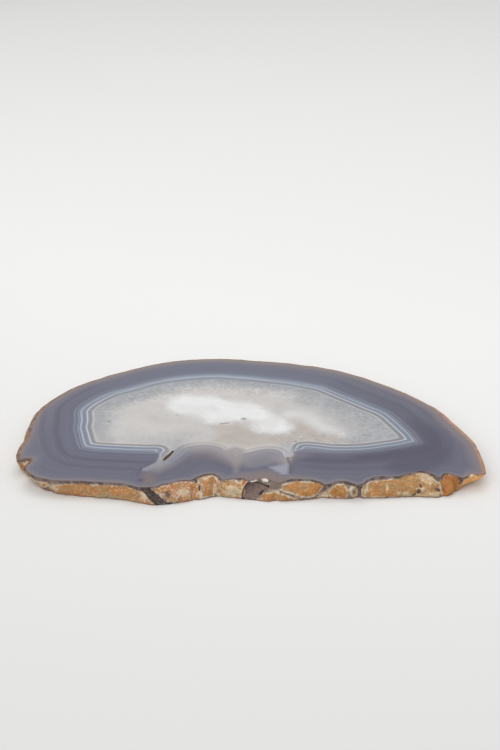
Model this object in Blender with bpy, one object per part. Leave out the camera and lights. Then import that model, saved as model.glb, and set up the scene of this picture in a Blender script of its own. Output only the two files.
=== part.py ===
"""Agate slice: one flat stone, sawn and polished on both faces, with its rough rind left on the edge.

The stone lies on its lower face. X runs along its length, Y runs from the front to the back and
Z is up. The origin is on the table, under the middle of the stone's box. Lengths in the tables
below are in millimetres, and the mesh is made in metres.
"""
import math
import random

import bmesh
import bpy
from mathutils import Vector, noise

MM = 0.001

# Driving sizes
THICKNESS = 5.5
EDGE_BREAK = 0.3

# The wall's columns are fine in front of the first Y and grow to coarse ones by the second.
FRONT_STEP = 0.7
REAR_STEP = 2.2
FINE_UNTIL_Y = -38.0
COARSE_FROM_Y = -24.0
CURVE_STEPS = 24

# The wall's rows, as heights between the two edge breaks
WALL_ROWS = (0.3, 0.9, 1.5, 2.1, 2.7, 3.3, 3.9, 4.4, 4.8, 5.2)

# The spine is a level line inside the stone. Every relief on the wall moves straight away from it.
SPINE_LEFT = (-45.0, 0.0)
SPINE_RIGHT = (45.0, -6.0)

# The outline of the upper face, counter-clockwise from the left end of the front edge. The third
# number is how far the foot of the wall stands out past the upper edge there.
OUTLINE = (
    (-71.2, -37.0, -3.5),
    (-67.0, -41.8, -3.3),
    (-60.5, -44.5, -2.2),
    (-50.0, -45.0, -0.4),
    (-40.0, -45.8, 0.3),
    (-33.0, -47.8, 0.8),
    (-27.5, -46.6, 3.1),
    (-22.0, -45.1, 3.2),
    (-17.0, -44.6, 2.2),
    (-9.0, -43.6, 0.8),
    (0.0, -43.6, 2.5),
    (6.5, -44.3, 3.1),
    (14.0, -44.2, 2.4),
    (23.2, -45.4, 0.0),
    (33.5, -45.6, -0.2),
    (42.0, -44.0, 1.0),
    (52.0, -42.2, 2.3),
    (59.4, -41.8, 3.0),
    (65.7, -41.8, -0.9),
    (71.0, -40.8, -4.9),
    (74.3, -39.8, -6.5),
    (75.2, -36.4, -5.3),
    (75.2, -28.2, -0.9),
    (74.9, -19.6, 0.0),
    (72.3, -11.2, 0.2),
    (70.1, -4.6, 0.3),
    (66.7, 4.4, 0.2),
    (60.3, 13.8, 0.4),
    (54.1, 21.3, 0.4),
    (44.2, 30.4, 0.0),
    (33.8, 38.4, -0.4),
    (15.4, 44.8, 0.0),
    (0.4, 47.7, 0.2),
    (-11.0, 49.2, 0.0),
    (-22.3, 48.4, -0.4),
    (-33.4, 45.0, -0.2),
    (-44.1, 38.9, 0.3),
    (-54.5, 31.7, 0.4),
    (-64.2, 22.4, 0.2),
    (-69.8, 13.4, 0.0),
    (-73.4, 4.2, 0.2),
    (-74.7, -6.9, 0.0),
    (-74.7, -16.0, -0.2),
    (-75.4, -23.0, -0.8),
    (-74.9, -29.5, -2.0),
)

# Lumps of the rind: place on the outline, half width, how far the upper edge is set back over
# the lump, and how far the lump swells from the wall below it.
LUMPS = (
    (-56.0, -44.8, 7.0, 0.5, 0.5),
    (-43.5, -45.4, 5.5, 0.9, 0.6),
    (-22.6, -45.2, 5.4, 1.2, 0.7),
    (-13.0, -44.1, 4.3, 3.9, 0.6),
    (-4.4, -43.6, 4.2, 1.1, 0.7),
    (4.4, -44.1, 3.6, 1.9, 0.0),
    (16.3, -44.5, 6.8, 1.8, 0.9),
    (28.4, -45.6, 4.6, 2.0, 0.9),
    (41.0, -44.2, 7.4, 2.0, 0.8),
    (53.6, -42.1, 5.9, 4.4, 0.8),
    (62.5, -41.8, 3.2, 3.2, 1.2),
    (70.6, -40.3, 4.6, 0.7, 0.5),
)

# Crevices between the lumps: place on the outline, half width, depth, and how far the crevice
# runs to the right by the time it reaches the foot.
CREVICES = (
    (-63.2, -43.6, 1.0, 0.7, 0.0),
    (-49.0, -45.1, 0.8, 0.6, 0.5),
    (-31.6, -47.6, 1.3, 1.2, 5.6),
    (-27.0, -46.4, 1.2, 1.3, 4.0),
    (-17.1, -44.6, 0.9, 1.3, 0.6),
    (-11.9, -44.0, 1.2, 0.8, 0.0),
    (-8.8, -43.6, 0.8, 0.9, -0.8),
    (9.2, -44.3, 1.4, 1.2, -1.0),
    (23.3, -45.4, 1.6, 1.3, -0.4),
    (33.5, -45.6, 1.2, 1.5, 0.2),
    (59.4, -41.8, 0.9, 1.4, 0.4),
    (65.7, -41.8, 1.1, 1.3, -0.8),
)

# Hollows in the wall: place on the outline, half width, middle height, half height, depth.
HOLLOWS = (
    (-24.4, -45.6, 1.1, 2.9, 1.3, 1.1),
    (-15.6, -44.4, 0.9, 3.0, 1.3, 1.0),
    (3.2, -44.0, 4.6, 3.1, 1.9, 2.8),
    (5.4, -44.2, 1.3, 1.4, 1.0, 1.4),
    (52.6, -42.1, 1.2, 1.6, 1.0, 1.1),
    (53.8, -42.1, 0.9, 3.8, 0.8, 0.9),
    (57.6, -42.0, 1.0, 2.7, 1.0, 1.0),
)

# The bite out of the left end of the upper face: place, half width, depth at the upper edge.
BITE = (-73.4, -34.2, 2.6, 5.2)

# A valley's flanks run out past its half width by this factor.
VALLEY_REACH = 1.6

# The wall's line from the upper edge to a foot that stands out, and to a foot that is undercut
SHOULDER_TOP = 2.2
SHOULDER_FOOT = 0.7
UNDERCUT_CURVE = 1.5

# Lumps along the edge that faces away are drawn by chance from these ranges.
REAR_SEED = 11
REAR_LUMPS = 46
REAR_HALF_WIDTH = (2.6, 7.5)
REAR_SET_BACK = (0.0, 0.5)
REAR_SWELL = (0.1, 0.6)
REAR_FROM_Y = -22.0

# Fine roughness of the rind, flatter than it is wide
ROUGH_DEPTH = 0.24
ROUGH_SIZE = 2.6
ROUGH_FLATTEN = 1.7
ROUGH_OCTAVES = 3

# The open slit in the upper face: its centre line with half widths, and its depth.
SLIT = ((-28.0, -30.9, 0.12), (-26.8, -29.2, 0.55), (-25.4, -26.6, 0.5), (-24.2, -23.9, 0.1))
SLIT_DEPTH = 2.4
CUTTER_ABOVE = 1.0

SHARP_ANGLE = math.radians(38.0)


def smooth_loop(points, steps):
    """Return a closed curve through the points, with the given steps from each to the next."""
    count = len(points)
    curve = []
    for i in range(count):
        before, start, end, after = (points[(i + k) % count] for k in (-1, 0, 1, 2))
        for step in range(steps):
            u = step / steps
            curve.append(tuple(
                0.5 * (2 * b + (c - a) * u + (2 * a - 5 * b + 4 * c - d) * u ** 2
                       + (3 * b - a - 3 * c + d) * u ** 3)
                for a, b, c, d in zip(before, start, end, after)))
    return curve


def column_step(y):
    """Return the width of a wall column: fine along the front, coarse behind."""
    share = (y - FINE_UNTIL_Y) / (COARSE_FROM_Y - FINE_UNTIL_Y)
    share = min(max(share, 0.0), 1.0)
    return FRONT_STEP + (REAR_STEP - FRONT_STEP) * share


def spread_columns(curve):
    """Return the wall's columns as (x, y, foot, distance round the outline)."""
    closed = curve + curve[:1]
    lengths = [0.0]
    weights = [0.0]
    for a, b in zip(closed, closed[1:]):
        span = math.dist(a[:2], b[:2])
        lengths.append(lengths[-1] + span)
        weights.append(weights[-1] + span / column_step(a[1]))
    count = round(weights[-1])
    columns = []
    i = 0
    for k in range(count):
        target = weights[-1] * k / count
        while weights[i + 1] <= target:
            i += 1
        share = (target - weights[i]) / (weights[i + 1] - weights[i])
        x, y, foot = (p + (q - p) * share for p, q in zip(closed[i], closed[i + 1]))
        columns.append((x, y, foot, lengths[i] + (lengths[i + 1] - lengths[i]) * share))
    return columns, lengths[-1]


def away_from_spine(x, y):
    """Return the level unit vector from the nearest point of the spine to (x, y)."""
    left = Vector(SPINE_LEFT)
    along = Vector(SPINE_RIGHT) - left
    share = (Vector((x, y)) - left).dot(along) / along.length_squared
    nearest = left + along * min(max(share, 0.0), 1.0)
    return (Vector((x, y)) - nearest).normalized()


def arch(u):
    """Return a round hump, 1 in the middle and 0 from -1 and 1 outwards."""
    return math.sqrt(1.0 - u * u) if abs(u) < 1.0 else 0.0


def valley(u):
    """Return a soft valley, 1 in the middle and 0 outside its reach."""
    return math.cos(0.5 * math.pi * u / VALLEY_REACH) ** 2 if abs(u) < VALLEY_REACH else 0.0


class Wall:
    """The rough edge of the stone, as a distance out from the outline at each place and height."""

    def __init__(self, columns, length):
        self.columns = columns
        self.length = length
        self.lumps = [(self.place(x, y), w, back, swell) for x, y, w, back, swell in LUMPS]
        self.lumps += self.rear_lumps()
        self.crevices = [(self.place(x, y), w, depth, lean) for x, y, w, depth, lean in CREVICES]
        self.hollows = [(self.place(x, y), *rest) for x, y, *rest in HOLLOWS]
        self.bite = (self.place(*BITE[:2]), *BITE[2:])

    def place(self, x, y):
        """Return the distance round the outline of the column nearest to (x, y)."""
        return min(self.columns, key=lambda column: math.dist(column[:2], (x, y)))[3]

    def rear_lumps(self):
        """Draw the lumps of the sides and the back, which face away."""
        chance = random.Random(REAR_SEED)
        behind = [column[3] for column in self.columns if column[1] > REAR_FROM_Y]
        first, last = min(behind), max(behind)
        lumps = []
        for k in range(REAR_LUMPS):
            place = first + (last - first) * (k + chance.uniform(0.1, 0.9)) / REAR_LUMPS
            lumps.append((place, chance.uniform(*REAR_HALF_WIDTH),
                          chance.uniform(*REAR_SET_BACK), chance.uniform(*REAR_SWELL)))
        return lumps

    def gap(self, s, place):
        """Return the signed distance round the outline from a place to s."""
        half = self.length / 2
        return (s - place + half) % self.length - half

    def rim(self, s):
        """Return how far the upper edge stands out from the outline, below zero where set back."""
        out = 0.0
        for place, half_width, back, _ in self.lumps:
            out -= back * arch(self.gap(s, place) / half_width)
        place, half_width, depth = self.bite
        return out - depth * max(0.0, 1.0 - abs(self.gap(s, place)) / half_width) ** 0.8

    def out(self, s, z, foot):
        """Return how far the wall stands out from the outline at distance s and height z."""
        t = z / THICKNESS
        rim = self.rim(s)
        if foot > rim:
            blend = (1.0 - t ** SHOULDER_TOP) ** SHOULDER_FOOT
        else:
            blend = (1.0 - t) ** UNDERCUT_CURVE
        out = rim + (foot - rim) * blend
        middle = 4.0 * t * (1.0 - t)
        for place, half_width, _, swell in self.lumps:
            out += swell * middle * arch(self.gap(s, place) / half_width)
        for place, half_width, depth, lean in self.crevices:
            u = (self.gap(s, place) - lean * (1.0 - t)) / half_width
            out -= depth * (0.2 + 0.8 * middle) * valley(u)
        for place, half_width, height, half_height, depth in self.hollows:
            u = self.gap(s, place) / half_width
            v = (z - height) / half_height
            out -= depth * max(0.0, 1.0 - u * u - v * v) ** 0.7
        return out


def wall_point(wall, column, z, inset):
    """Return the corner of the wall's mesh in one column at height z, in metres."""
    x, y, foot, s = column
    out = wall.out(s, min(max(z, WALL_ROWS[0]), WALL_ROWS[-1]), foot) - inset
    spot = Vector((x, y, z * ROUGH_FLATTEN)) / ROUGH_SIZE
    out += ROUGH_DEPTH * noise.fractal(spot, 1.0, 2.0, ROUGH_OCTAVES)
    direction = away_from_spine(x, y)
    return Vector((x + direction.x * out, y + direction.y * out, z)) * MM


def make_stone():
    """Build the closed stone from its rings, with one flat face above and one below."""
    columns, length = spread_columns(smooth_loop(OUTLINE, CURVE_STEPS))
    wall = Wall(columns, length)
    rows = [(0.0, EDGE_BREAK)]
    rows += [(z, 0.0) for z in WALL_ROWS]
    rows += [(THICKNESS, EDGE_BREAK)]
    shape = bmesh.new()
    rings = []
    for z, inset in rows:
        rings.append([shape.verts.new(wall_point(wall, column, z, inset)) for column in columns])
    count = len(columns)
    for lower, upper in zip(rings, rings[1:]):
        for k in range(count):
            n = (k + 1) % count
            shape.faces.new((lower[k], lower[n], upper[n], upper[k]))
    shape.faces.new(reversed(rings[0]))
    shape.faces.new(rings[-1])
    mesh = bpy.data.meshes.new("agate_slice")
    shape.to_mesh(mesh)
    shape.free()
    stone = bpy.data.objects.new("agate_slice", mesh)
    bpy.context.collection.objects.link(stone)
    return stone


def make_slit_cutter():
    """Build the thin wedge that cuts the open slit into the upper face."""
    right = []
    left = []
    for k, (x, y, half_width) in enumerate(SLIT):
        before = Vector(SLIT[max(k - 1, 0)][:2])
        after = Vector(SLIT[min(k + 1, len(SLIT) - 1)][:2])
        side = (after - before).normalized().orthogonal() * half_width
        right.append((x - side.x, y - side.y))
        left.append((x + side.x, y + side.y))
    border = right + left[::-1]
    floor_height = (THICKNESS - SLIT_DEPTH) * MM
    top_height = (THICKNESS + CUTTER_ABOVE) * MM
    shape = bmesh.new()
    low = [shape.verts.new((x * MM, y * MM, floor_height)) for x, y in border]
    high = [shape.verts.new((x * MM, y * MM, top_height)) for x, y in border]
    count = len(border)
    for k in range(count):
        n = (k + 1) % count
        shape.faces.new((low[k], low[n], high[n], high[k]))
    shape.faces.new(reversed(low))
    shape.faces.new(high)
    bmesh.ops.recalc_face_normals(shape, faces=shape.faces)
    mesh = bpy.data.meshes.new("slit_cutter")
    shape.to_mesh(mesh)
    shape.free()
    cutter = bpy.data.objects.new("slit_cutter", mesh)
    bpy.context.collection.objects.link(cutter)
    cutter.hide_render = True
    cutter.display_type = 'WIRE'
    return cutter


def agate_material():
    """Return the plain polished grey of the stone."""
    material = bpy.data.materials.new("agate")
    material.use_nodes = True
    shader = material.node_tree.nodes["Principled BSDF"]
    shader.inputs["Base Color"].default_value = (0.17, 0.17, 0.20, 1.0)
    shader.inputs["Roughness"].default_value = 0.2
    shader.inputs["Metallic"].default_value = 0.0
    return material


def main():
    """Clear the scene and make the stone."""
    for thing in list(bpy.data.objects):
        bpy.data.objects.remove(thing, do_unlink=True)
    stone = make_stone()
    stone.data.materials.append(agate_material())
    slit = stone.modifiers.new("slit", 'BOOLEAN')
    slit.operation = 'DIFFERENCE'
    slit.solver = 'EXACT'
    slit.object = make_slit_cutter()
    stone.data.shade_smooth()
    stone.data.set_sharp_from_angle(angle=SHARP_ANGLE)


main()
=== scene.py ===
"""Agate slice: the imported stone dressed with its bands, its quartz heart and its rough rind.

The tables below are in millimetres in the stone's own frame: X runs along its length, Y from the
front to the back, Z up from the table. Meshes are made in metres.
"""

import math
import random

import bpy
import numpy as np
from bpy.props import FloatProperty, FloatVectorProperty, PointerProperty
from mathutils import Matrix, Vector, noise
from mathutils.bvhtree import BVHTree
from mathutils.geometry import delaunay_2d_cdt
from mathutils.kdtree import KDTree


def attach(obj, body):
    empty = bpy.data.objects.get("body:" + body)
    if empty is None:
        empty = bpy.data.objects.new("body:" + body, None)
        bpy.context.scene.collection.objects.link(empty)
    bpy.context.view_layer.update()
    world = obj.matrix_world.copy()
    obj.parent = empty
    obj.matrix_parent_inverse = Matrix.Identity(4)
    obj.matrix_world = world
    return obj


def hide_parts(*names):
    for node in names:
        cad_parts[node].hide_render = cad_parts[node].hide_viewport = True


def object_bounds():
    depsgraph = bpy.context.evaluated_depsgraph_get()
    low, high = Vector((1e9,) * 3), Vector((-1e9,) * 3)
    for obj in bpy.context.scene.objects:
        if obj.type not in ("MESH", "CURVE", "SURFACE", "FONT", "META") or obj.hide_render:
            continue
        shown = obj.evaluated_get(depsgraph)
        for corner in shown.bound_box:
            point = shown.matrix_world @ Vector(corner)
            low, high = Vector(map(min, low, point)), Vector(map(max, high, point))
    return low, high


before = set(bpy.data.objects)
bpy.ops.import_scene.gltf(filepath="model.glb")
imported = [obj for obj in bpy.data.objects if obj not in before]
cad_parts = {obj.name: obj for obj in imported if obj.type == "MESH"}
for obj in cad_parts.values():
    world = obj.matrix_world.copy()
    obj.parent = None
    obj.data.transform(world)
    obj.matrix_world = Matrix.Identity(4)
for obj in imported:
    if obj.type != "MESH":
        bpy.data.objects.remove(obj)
CAD_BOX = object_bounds()

bl_info = {
    "name": "Agate slice",
    "version": (1, 0, 0),
    "blender": (4, 5, 0),
    "location": "3D View > Sidebar > Agate slice",
    "description": "Makes a polished slice of banded agate with its rough rind, and a plain stage for it",
    "category": "Add Mesh",
}

MM = 0.001
LOW_CORNER = np.array(CAD_BOX[0]) / MM
HIGH_CORNER = np.array(CAD_BOX[1]) / MM
THICKNESS = float(HIGH_CORNER[2] - LOW_CORNER[2])

# The level line inside the stone from which every column of the wall is measured
SPINE = ((-45.0, 0.0), (45.0, -6.0))
# Half sizes of an oval round the stone, from which the columns look inwards
LOOKOUT = (95.0, 75.0)
LOOKOUT_STEPS = 1600
# The wall is divided finely in front of the first Y and coarsely behind the second
FINE_IN_FRONT_OF = -34.0
COARSE_BEHIND = -16.0
# Heights of the wall's rows, as shares of the thickness
WALL_ROWS = (0.0, 0.055, 0.11, 0.175, 0.24, 0.305, 0.37, 0.435, 0.5, 0.565, 0.63, 0.695, 0.76, 0.82, 0.88,
             0.945, 1.0)
# A ray at the very level of a face could miss the wall, so it looks this far inside the face
FACE_MARGIN = 0.004
# How often the fine and the coarse columns are averaged with their neighbours
FINE_SPREAD = 1
COARSE_SPREAD = 4

# The white line where it runs along the front at the left, round the left end and along the front
# at the right, and the course of the fold. More than one table below uses them.
LEFT_FRONT = ((-29.5, -21.5), (-35.4, -21.3), (-42.3, -20.7), (-48.4, -20.0), (-51.7, -19.2))
LEFT_END = ((-51.7, -19.2), (-52.4, -17.2), (-53.5, -12.6), (-54.7, -7.4))
RIGHT_FRONT = ((52.1, -16.1), (49.0, -17.4), (44.4, -18.9), (39.9, -20.2), (34.0, -21.1), (28.1, -21.1))
FOLD = ((-28.7, -29.0), (-29.2, -31.9), (-31.1, -34.0), (-33.4, -36.2))
# The white line round the quartz. Each stretch is smooth, and where two meet there is a corner.
WHITE_LINE = (
    # From the fold at the left of the front to the left corner, and round the back to the right tip
    ((-28.5, -25.4), (-27.8, -24.4), (-27.5, -23.7), (-28.0, -22.6), *LEFT_FRONT),
    (*LEFT_END, (-55.0, -1.9), (-55.8, 3.2), (-55.8, 5.1), (-54.6, 8.6), (-52.7, 11.9), (-50.1, 15.2),
     (-47.2, 18.3), (-43.2, 20.6), (-39.0, 23.5), (-34.0, 27.0), (-25.1, 30.5), (-13.2, 32.5), (-1.1, 30.8),
     (8.0, 28.5), (14.2, 27.0), (19.7, 24.7), (24.4, 22.5), (28.0, 19.2), (32.2, 14.9), (36.3, 10.9),
     (40.7, 6.4), (44.9, 2.2), (48.2, -4.8), (49.8, -9.1), (51.2, -12.9), (52.1, -16.1)),
    # The front, from the right tip to the notch between the domes and the right part
    (*RIGHT_FRONT, (23.8, -20.2), (19.4, -19.3), (16.8, -19.8), (15.7, -21.7), (15.1, -24.8),
     (13.7, -27.8), (12.6, -29.6)),
    # The right dome, down to the seam between the domes
    ((12.6, -29.6), (11.7, -27.5), (11.6, -26.1), (11.1, -24.6), (9.8, -23.1), (7.3, -22.2), (4.6, -22.4),
     (2.4, -23.4), (-0.1, -24.7), (-2.3, -25.7), (-3.9, -28.4)),
    # The left dome, down to the foot of the crack
    ((-3.9, -28.4), (-5.2, -26.4), (-6.9, -24.2), (-8.5, -22.0), (-10.6, -20.4), (-13.1, -19.6),
     (-15.6, -19.6), (-18.7, -20.3), (-20.9, -21.6), (-22.3, -23.5), (-23.4, -25.6), (-24.7, -27.9),
     (-26.3, -30.2), (-28.1, -32.4)),
    # Back along the far side of the crack to the fold
    ((-28.1, -32.4), (-28.4, -30.6), (-28.6, -28.8), (-28.6, -27.4), (-28.5, -25.4)),
)
# Left of the fold and right of the notch the bands run straight on. Each row has the area, the
# stretches of line from which its bands are measured, and the widths over which it blends in at
# top and foot.
STRAIGHT_BANDS = (
    (((-64.0, -21.0), (-28.4, -24.8), *FOLD, (-35.5, -40.0), (-36.0, -50.0), (-64.0, -50.0)),
     (((-24.0, -21.6), *LEFT_FRONT), LEFT_END),
     0.3, 3.0),
    (((13.0, -22.0), (52.0, -22.0), (52.0, -50.0), (13.0, -50.0)),
     ((*RIGHT_FRONT, (23.8, -20.6), (19.4, -20.2), (12.0, -20.0)),),
     2.0, 2.0),
)
# Bands beyond a sharp corner stay sharp, but reach no further than this share allows, and they
# grow round between these two distances from it
CORNER_REACH = 0.6
CORNER_ROUND = (6.0, 12.0)
# Distance between the points of the lines from which bands are measured
LINE_STEP = 0.8
# Distances are worked out for this many points at once, to spare memory
POINTS_AT_ONCE = 2000

# How the bands change round the stone, at points on them. Shares of the look of the rear, the
# right end, the domes and the front (the rest is the left end's), how strong the thin lines are,
# the width of the pale ring inside the rim, of the rind's edge, and how tan they are.
SIDES = (
    (-64.0, 0.0, 0.0, 0.0, 0.0, 0.0, 1.0, 2.6, 1.0, 0.45),
    (-66.0, -20.0, 0.0, 0.0, 0.0, 0.3, 1.0, 2.8, 1.3, 0.45),
    (-60.0, -36.0, 0.0, 0.0, 0.0, 0.9, 1.0, 2.4, 0.5, 0.1),
    (-42.0, -36.0, 0.0, 0.0, 0.0, 1.0, 1.0, 2.4, 0.2, 0.0),
    (-42.0, -24.0, 0.0, 0.0, 0.0, 1.0, 1.0, 2.4, 0.2, 0.0),
    (-31.0, -40.0, 0.0, 0.0, 0.6, 0.4, 0.0, 2.4, 0.2, 0.0),
    (-29.2, -22.0, 0.0, 0.2, 0.2, 0.6, 1.0, 2.4, 0.2, 0.0),
    (-27.0, -33.0, 0.0, 0.1, 0.7, 0.2, 0.0, 2.4, 0.2, 0.0),
    (-24.6, -28.6, 0.0, 0.55, 0.25, 0.0, 0.2, 2.4, 0.2, 0.0),
    (-20.5, -30.5, 0.0, 0.55, 0.35, 0.0, 0.1, 2.2, 0.2, 0.0),
    (-14.0, -32.0, 0.0, 0.0, 1.0, 0.0, 0.3, 1.8, 0.2, 0.0),
    (-14.0, -22.0, 0.0, 0.0, 1.0, 0.0, 0.6, 1.8, 0.2, 0.0),
    (-4.0, -29.0, 0.0, 0.0, 1.0, 0.0, 0.0, 1.8, 0.2, 0.0),
    (5.0, -24.0, 0.0, 0.0, 0.9, 0.0, 1.0, 2.0, 0.25, 0.25),
    (10.8, -24.4, 0.0, 0.0, 0.9, 0.0, 1.0, 2.0, 0.25, 0.25),
    (10.6, -29.4, 0.0, 0.0, 0.9, 0.0, 0.0, 2.0, 0.25, 0.25),
    (16.4, -21.0, 0.0, 0.5, 0.1, 0.2, 1.0, 2.4, 0.2, 0.0),
    (4.0, -36.0, 0.0, 0.0, 0.9, 0.0, 0.2, 6.5, 0.25, 0.25),
    (22.0, -32.0, 0.0, 0.7, 0.0, 0.3, 0.9, 2.4, 0.2, 0.0),
    (42.0, -32.0, 0.0, 1.0, 0.0, 0.0, 0.85, 1.1, 0.2, 0.0),
    (58.0, -36.0, 0.0, 1.0, 0.0, 0.0, 0.8, 0.8, 0.2, 0.05),
    (68.0, -28.0, 0.0, 1.0, 0.0, 0.0, 0.8, 5.0, 1.0, 0.9),
    (66.0, -8.0, 0.0, 0.9, 0.0, 0.0, 0.8, 5.6, 1.0, 0.95),
    (54.0, 10.0, 0.1, 0.4, 0.0, 0.0, 0.8, 3.8, 0.6, 0.85),
    (40.0, 22.0, 0.3, 0.2, 0.0, 0.0, 0.75, 3.5, 0.55, 0.7),
    (22.0, 34.0, 0.8, 0.0, 0.0, 0.0, 0.35, 3.4, 0.5, 0.7),
    (0.0, 40.0, 1.0, 0.0, 0.0, 0.0, 0.0, 3.6, 0.6, 0.55),
    (-24.0, 40.0, 1.0, 0.0, 0.0, 0.0, 0.0, 3.4, 0.6, 0.5),
    (-44.0, 27.0, 0.8, 0.0, 0.0, 0.0, 0.12, 3.0, 0.6, 0.5),
    (-58.0, 15.0, 0.25, 0.0, 0.0, 0.0, 0.7, 2.6, 0.8, 0.5),
)
SIDE_NAMES = ("rear", "right", "dome", "front", "lines", "ring_mm", "edge_mm", "tan")
# Left of the fold only the sides up to this X count
LEFT_SIDES_TO = -36.0
# Within about this distance of a point above, squared, its look hardly changes
SIDE_SOFTNESS = 9.0

# Patches inside the stone: outline and the width over which each fades
PATCHES = {
    "milk": (
        ((-28.5, 10.5), (-27.5, 14.5), (-22.7, 18.0), (-17.4, 17.5), (-12.7, 16.4), (-8.4, 14.4),
         (-3.8, 12.5), (0.4, 11.2), (4.6, 8.6), (7.3, 5.5), (9.7, 2.0), (12.7, -1.3), (13.3, -4.3),
         (14.7, -8.5), (13.3, -11.3), (8.7, -12.1), (3.7, -11.3), (2.1, -8.5), (1.7, -3.9), (-0.5, -2.6),
         (-3.9, -2.8), (-8.1, -4.3), (-12.3, -4.8), (-14.5, -5.1), (-16.7, -1.3), (-19.5, 1.7),
         (-25.4, 3.0), (-28.0, 6.0)),
    ),
    "milk_arm": (
        ((9.7, 2.2), (13.4, 4.4), (17.2, 4.6), (20.8, 3.4), (23.0, 0.4), (25.4, -3.6), (28.6, -8.2),
         (32.4, -12.6), (30.0, -14.6), (23.9, -11.4), (20.2, -6.4), (18.4, -2.0), (16.0, 0.2),
         (13.1, -1.4)),
    ),
    "warm": (
        ((-13.0, -6.5), (-4.0, -5.0), (3.0, -11.0), (9.0, -13.0), (14.5, -12.0), (16.0, -3.0), (21.0, -5.0),
         (26.0, -11.5), (32.0, -16.0), (28.0, -19.0), (14.0, -18.0), (4.0, -21.5), (-6.0, -21.0),
         (-12.0, -18.0), (-11.0, -12.0)),
    ),
    "cool": (
        ((22.0, 19.0), (34.0, 11.0), (44.0, 0.0), (49.0, -12.0), (44.0, -17.0), (36.0, -15.0), (30.0, -4.0),
         (22.0, 6.0), (14.0, 14.0)),
        ((-52.0, 9.0), (-44.0, 18.0), (-30.0, 26.0), (-26.0, 21.0), (-38.0, 14.0), (-46.0, 6.0)),
        ((-56.5, 11.8), (-55.5, -5.8), (-53.2, -17.6), (-44.4, -20.5), (-44.5, -16.8), (-46.9, -11.5),
         (-48.4, 0.1), (-51.6, 12.2)),
    ),
    "lilac": (
        ((5.5, -34.4), (7.4, -33.9), (10.3, -33.2), (12.6, -32.3), (12.9, -35.5), (12.6, -39.6),
         (10.1, -39.8), (8.0, -37.4)),
    ),
    "streak": (
        ((-21.0, -22.0), (-23.0, -25.6), (-25.2, -29.4), (-28.6, -33.9), (-31.8, -37.4), (-33.8, -37.8),
         (-33.3, -36.2), (-31.1, -34.2), (-29.0, -32.2), (-28.2, -31.2), (-25.8, -28.6), (-24.0, -25.0),
         (-22.4, -22.4)),
    ),
    "dusk": (
        ((48.0, -27.0), (54.0, -24.5), (58.0, -20.0), (59.5, -14.0), (58.5, -8.0), (61.0, -6.0),
         (64.5, -12.0), (65.3, -24.9), (63.1, -31.6), (58.7, -35.5), (55.3, -38.4), (48.0, -38.4),
         (44.0, -36.0), (46.0, -31.0)),
    ),
    "smoky": (
        ((-2.7, -40.8), (-0.2, -39.6), (2.9, -39.2), (5.4, -38.4), (8.0, -39.0), (10.4, -41.2), (12.9, -41.9),
         (13.5, -44.2), (-2.7, -44.4)),
        ((-33.3, -40.6), (-31.7, -39.2), (-29.6, -40.8), (-28.8, -44.6), (-32.5, -45.6)),
    ),
    "seam": (
        ((-7.1, -23.2), (-4.2, -21.5), (-1.2, -23.2), (-2.3, -26.9), (-3.0, -31.6), (-3.5, -38.5),
         (-4.6, -38.5), (-5.0, -30.9), (-6.1, -26.6)),
    ),
    "haze": (
        ((-2.2, -24.9), (1.1, -24.4), (5.0, -23.6), (8.9, -24.2), (11.4, -26.2), (12.0, -28.9), (9.4, -30.9),
         (6.1, -33.5), (2.9, -35.5), (-0.9, -35.5), (-2.5, -30.3)),
    ),
}
# Thin veins and specks in the polished face: half width and course. One point makes a speck.
PALE_VEINS = (
    (0.36, ((-28.6, -26.0), *FOLD)),
    (0.2, ((-28.2, -32.8), (-30.4, -35.0), (-33.0, -36.9))),
    (0.22, ((12.4, -28.6), (11.6, -24.0), (10.8, -19.4))),
    (0.22, ((12.7, -28.4), (12.5, -23.5), (12.1, -18.6))),
    (0.22, ((12.9, -28.2), (13.4, -23.0), (13.3, -18.4))),
    (0.22, ((13.2, -28.0), (14.3, -23.0), (14.8, -19.0))),
    (0.3, ((9.0, -12.6), (10.2, -14.4), (11.4, -16.8))),
)
DARK_VEINS = (
    (0.42, ((12.6, -28.6), (12.5, -29.8), (12.9, -31.6))),
    (0.2, ((12.9, -31.6), (13.3, -35.2), (13.2, -38.8))),
    (0.22, ((-34.1, -35.4), (-34.2, -37.0), (-34.4, -38.4))),
    (0.3, ((-30.5, -34.1),)),
    (0.9, ((-33.6, -43.2),)),
    (0.75, ((-1.8, -1.1),)),
    (0.3, ((-6.9, -4.2), (-9.6, -4.9))),
    (0.35, ((-28.1, 1.7),)),
    (0.35, ((-24.7, 1.7),)),
    (0.5, ((-47.6, -3.3),)),
    (0.4, ((15.4, -17.6),)),
    (0.35, ((32.1, -2.4),)),
)
# Beyond these distances from a patch's border or a vein the numbers stay the same
PATCH_REACH = 6.0
VEIN_REACH = 6.0

# The narrow crack beside the fold: place and half width
CRACK = ((-27.4, -30.6, 0.45), (-26.6, -28.9, 0.7), (-25.4, -26.3, 0.5), (-24.5, -24.0, 0.32))
CRACK_DEPTH = 0.7
CRACK_FLOOR_SHARE = 0.4
# The rind's numbers on the crack's sides, which make it a warm brown darkened by the holes' painted shade
CRACK_LOOK = {
    "body": 1.0, "core": 1.0, "lump_heat": 1.2, "hole": 0.24, "darkness": 0.42, "below_rim": 9.0,
    "slope": -1.0, "valley": -1.0, "chip": -1.0, "stain": -1.0, "cream": -1.0, "tip": -1.0,
}

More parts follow.
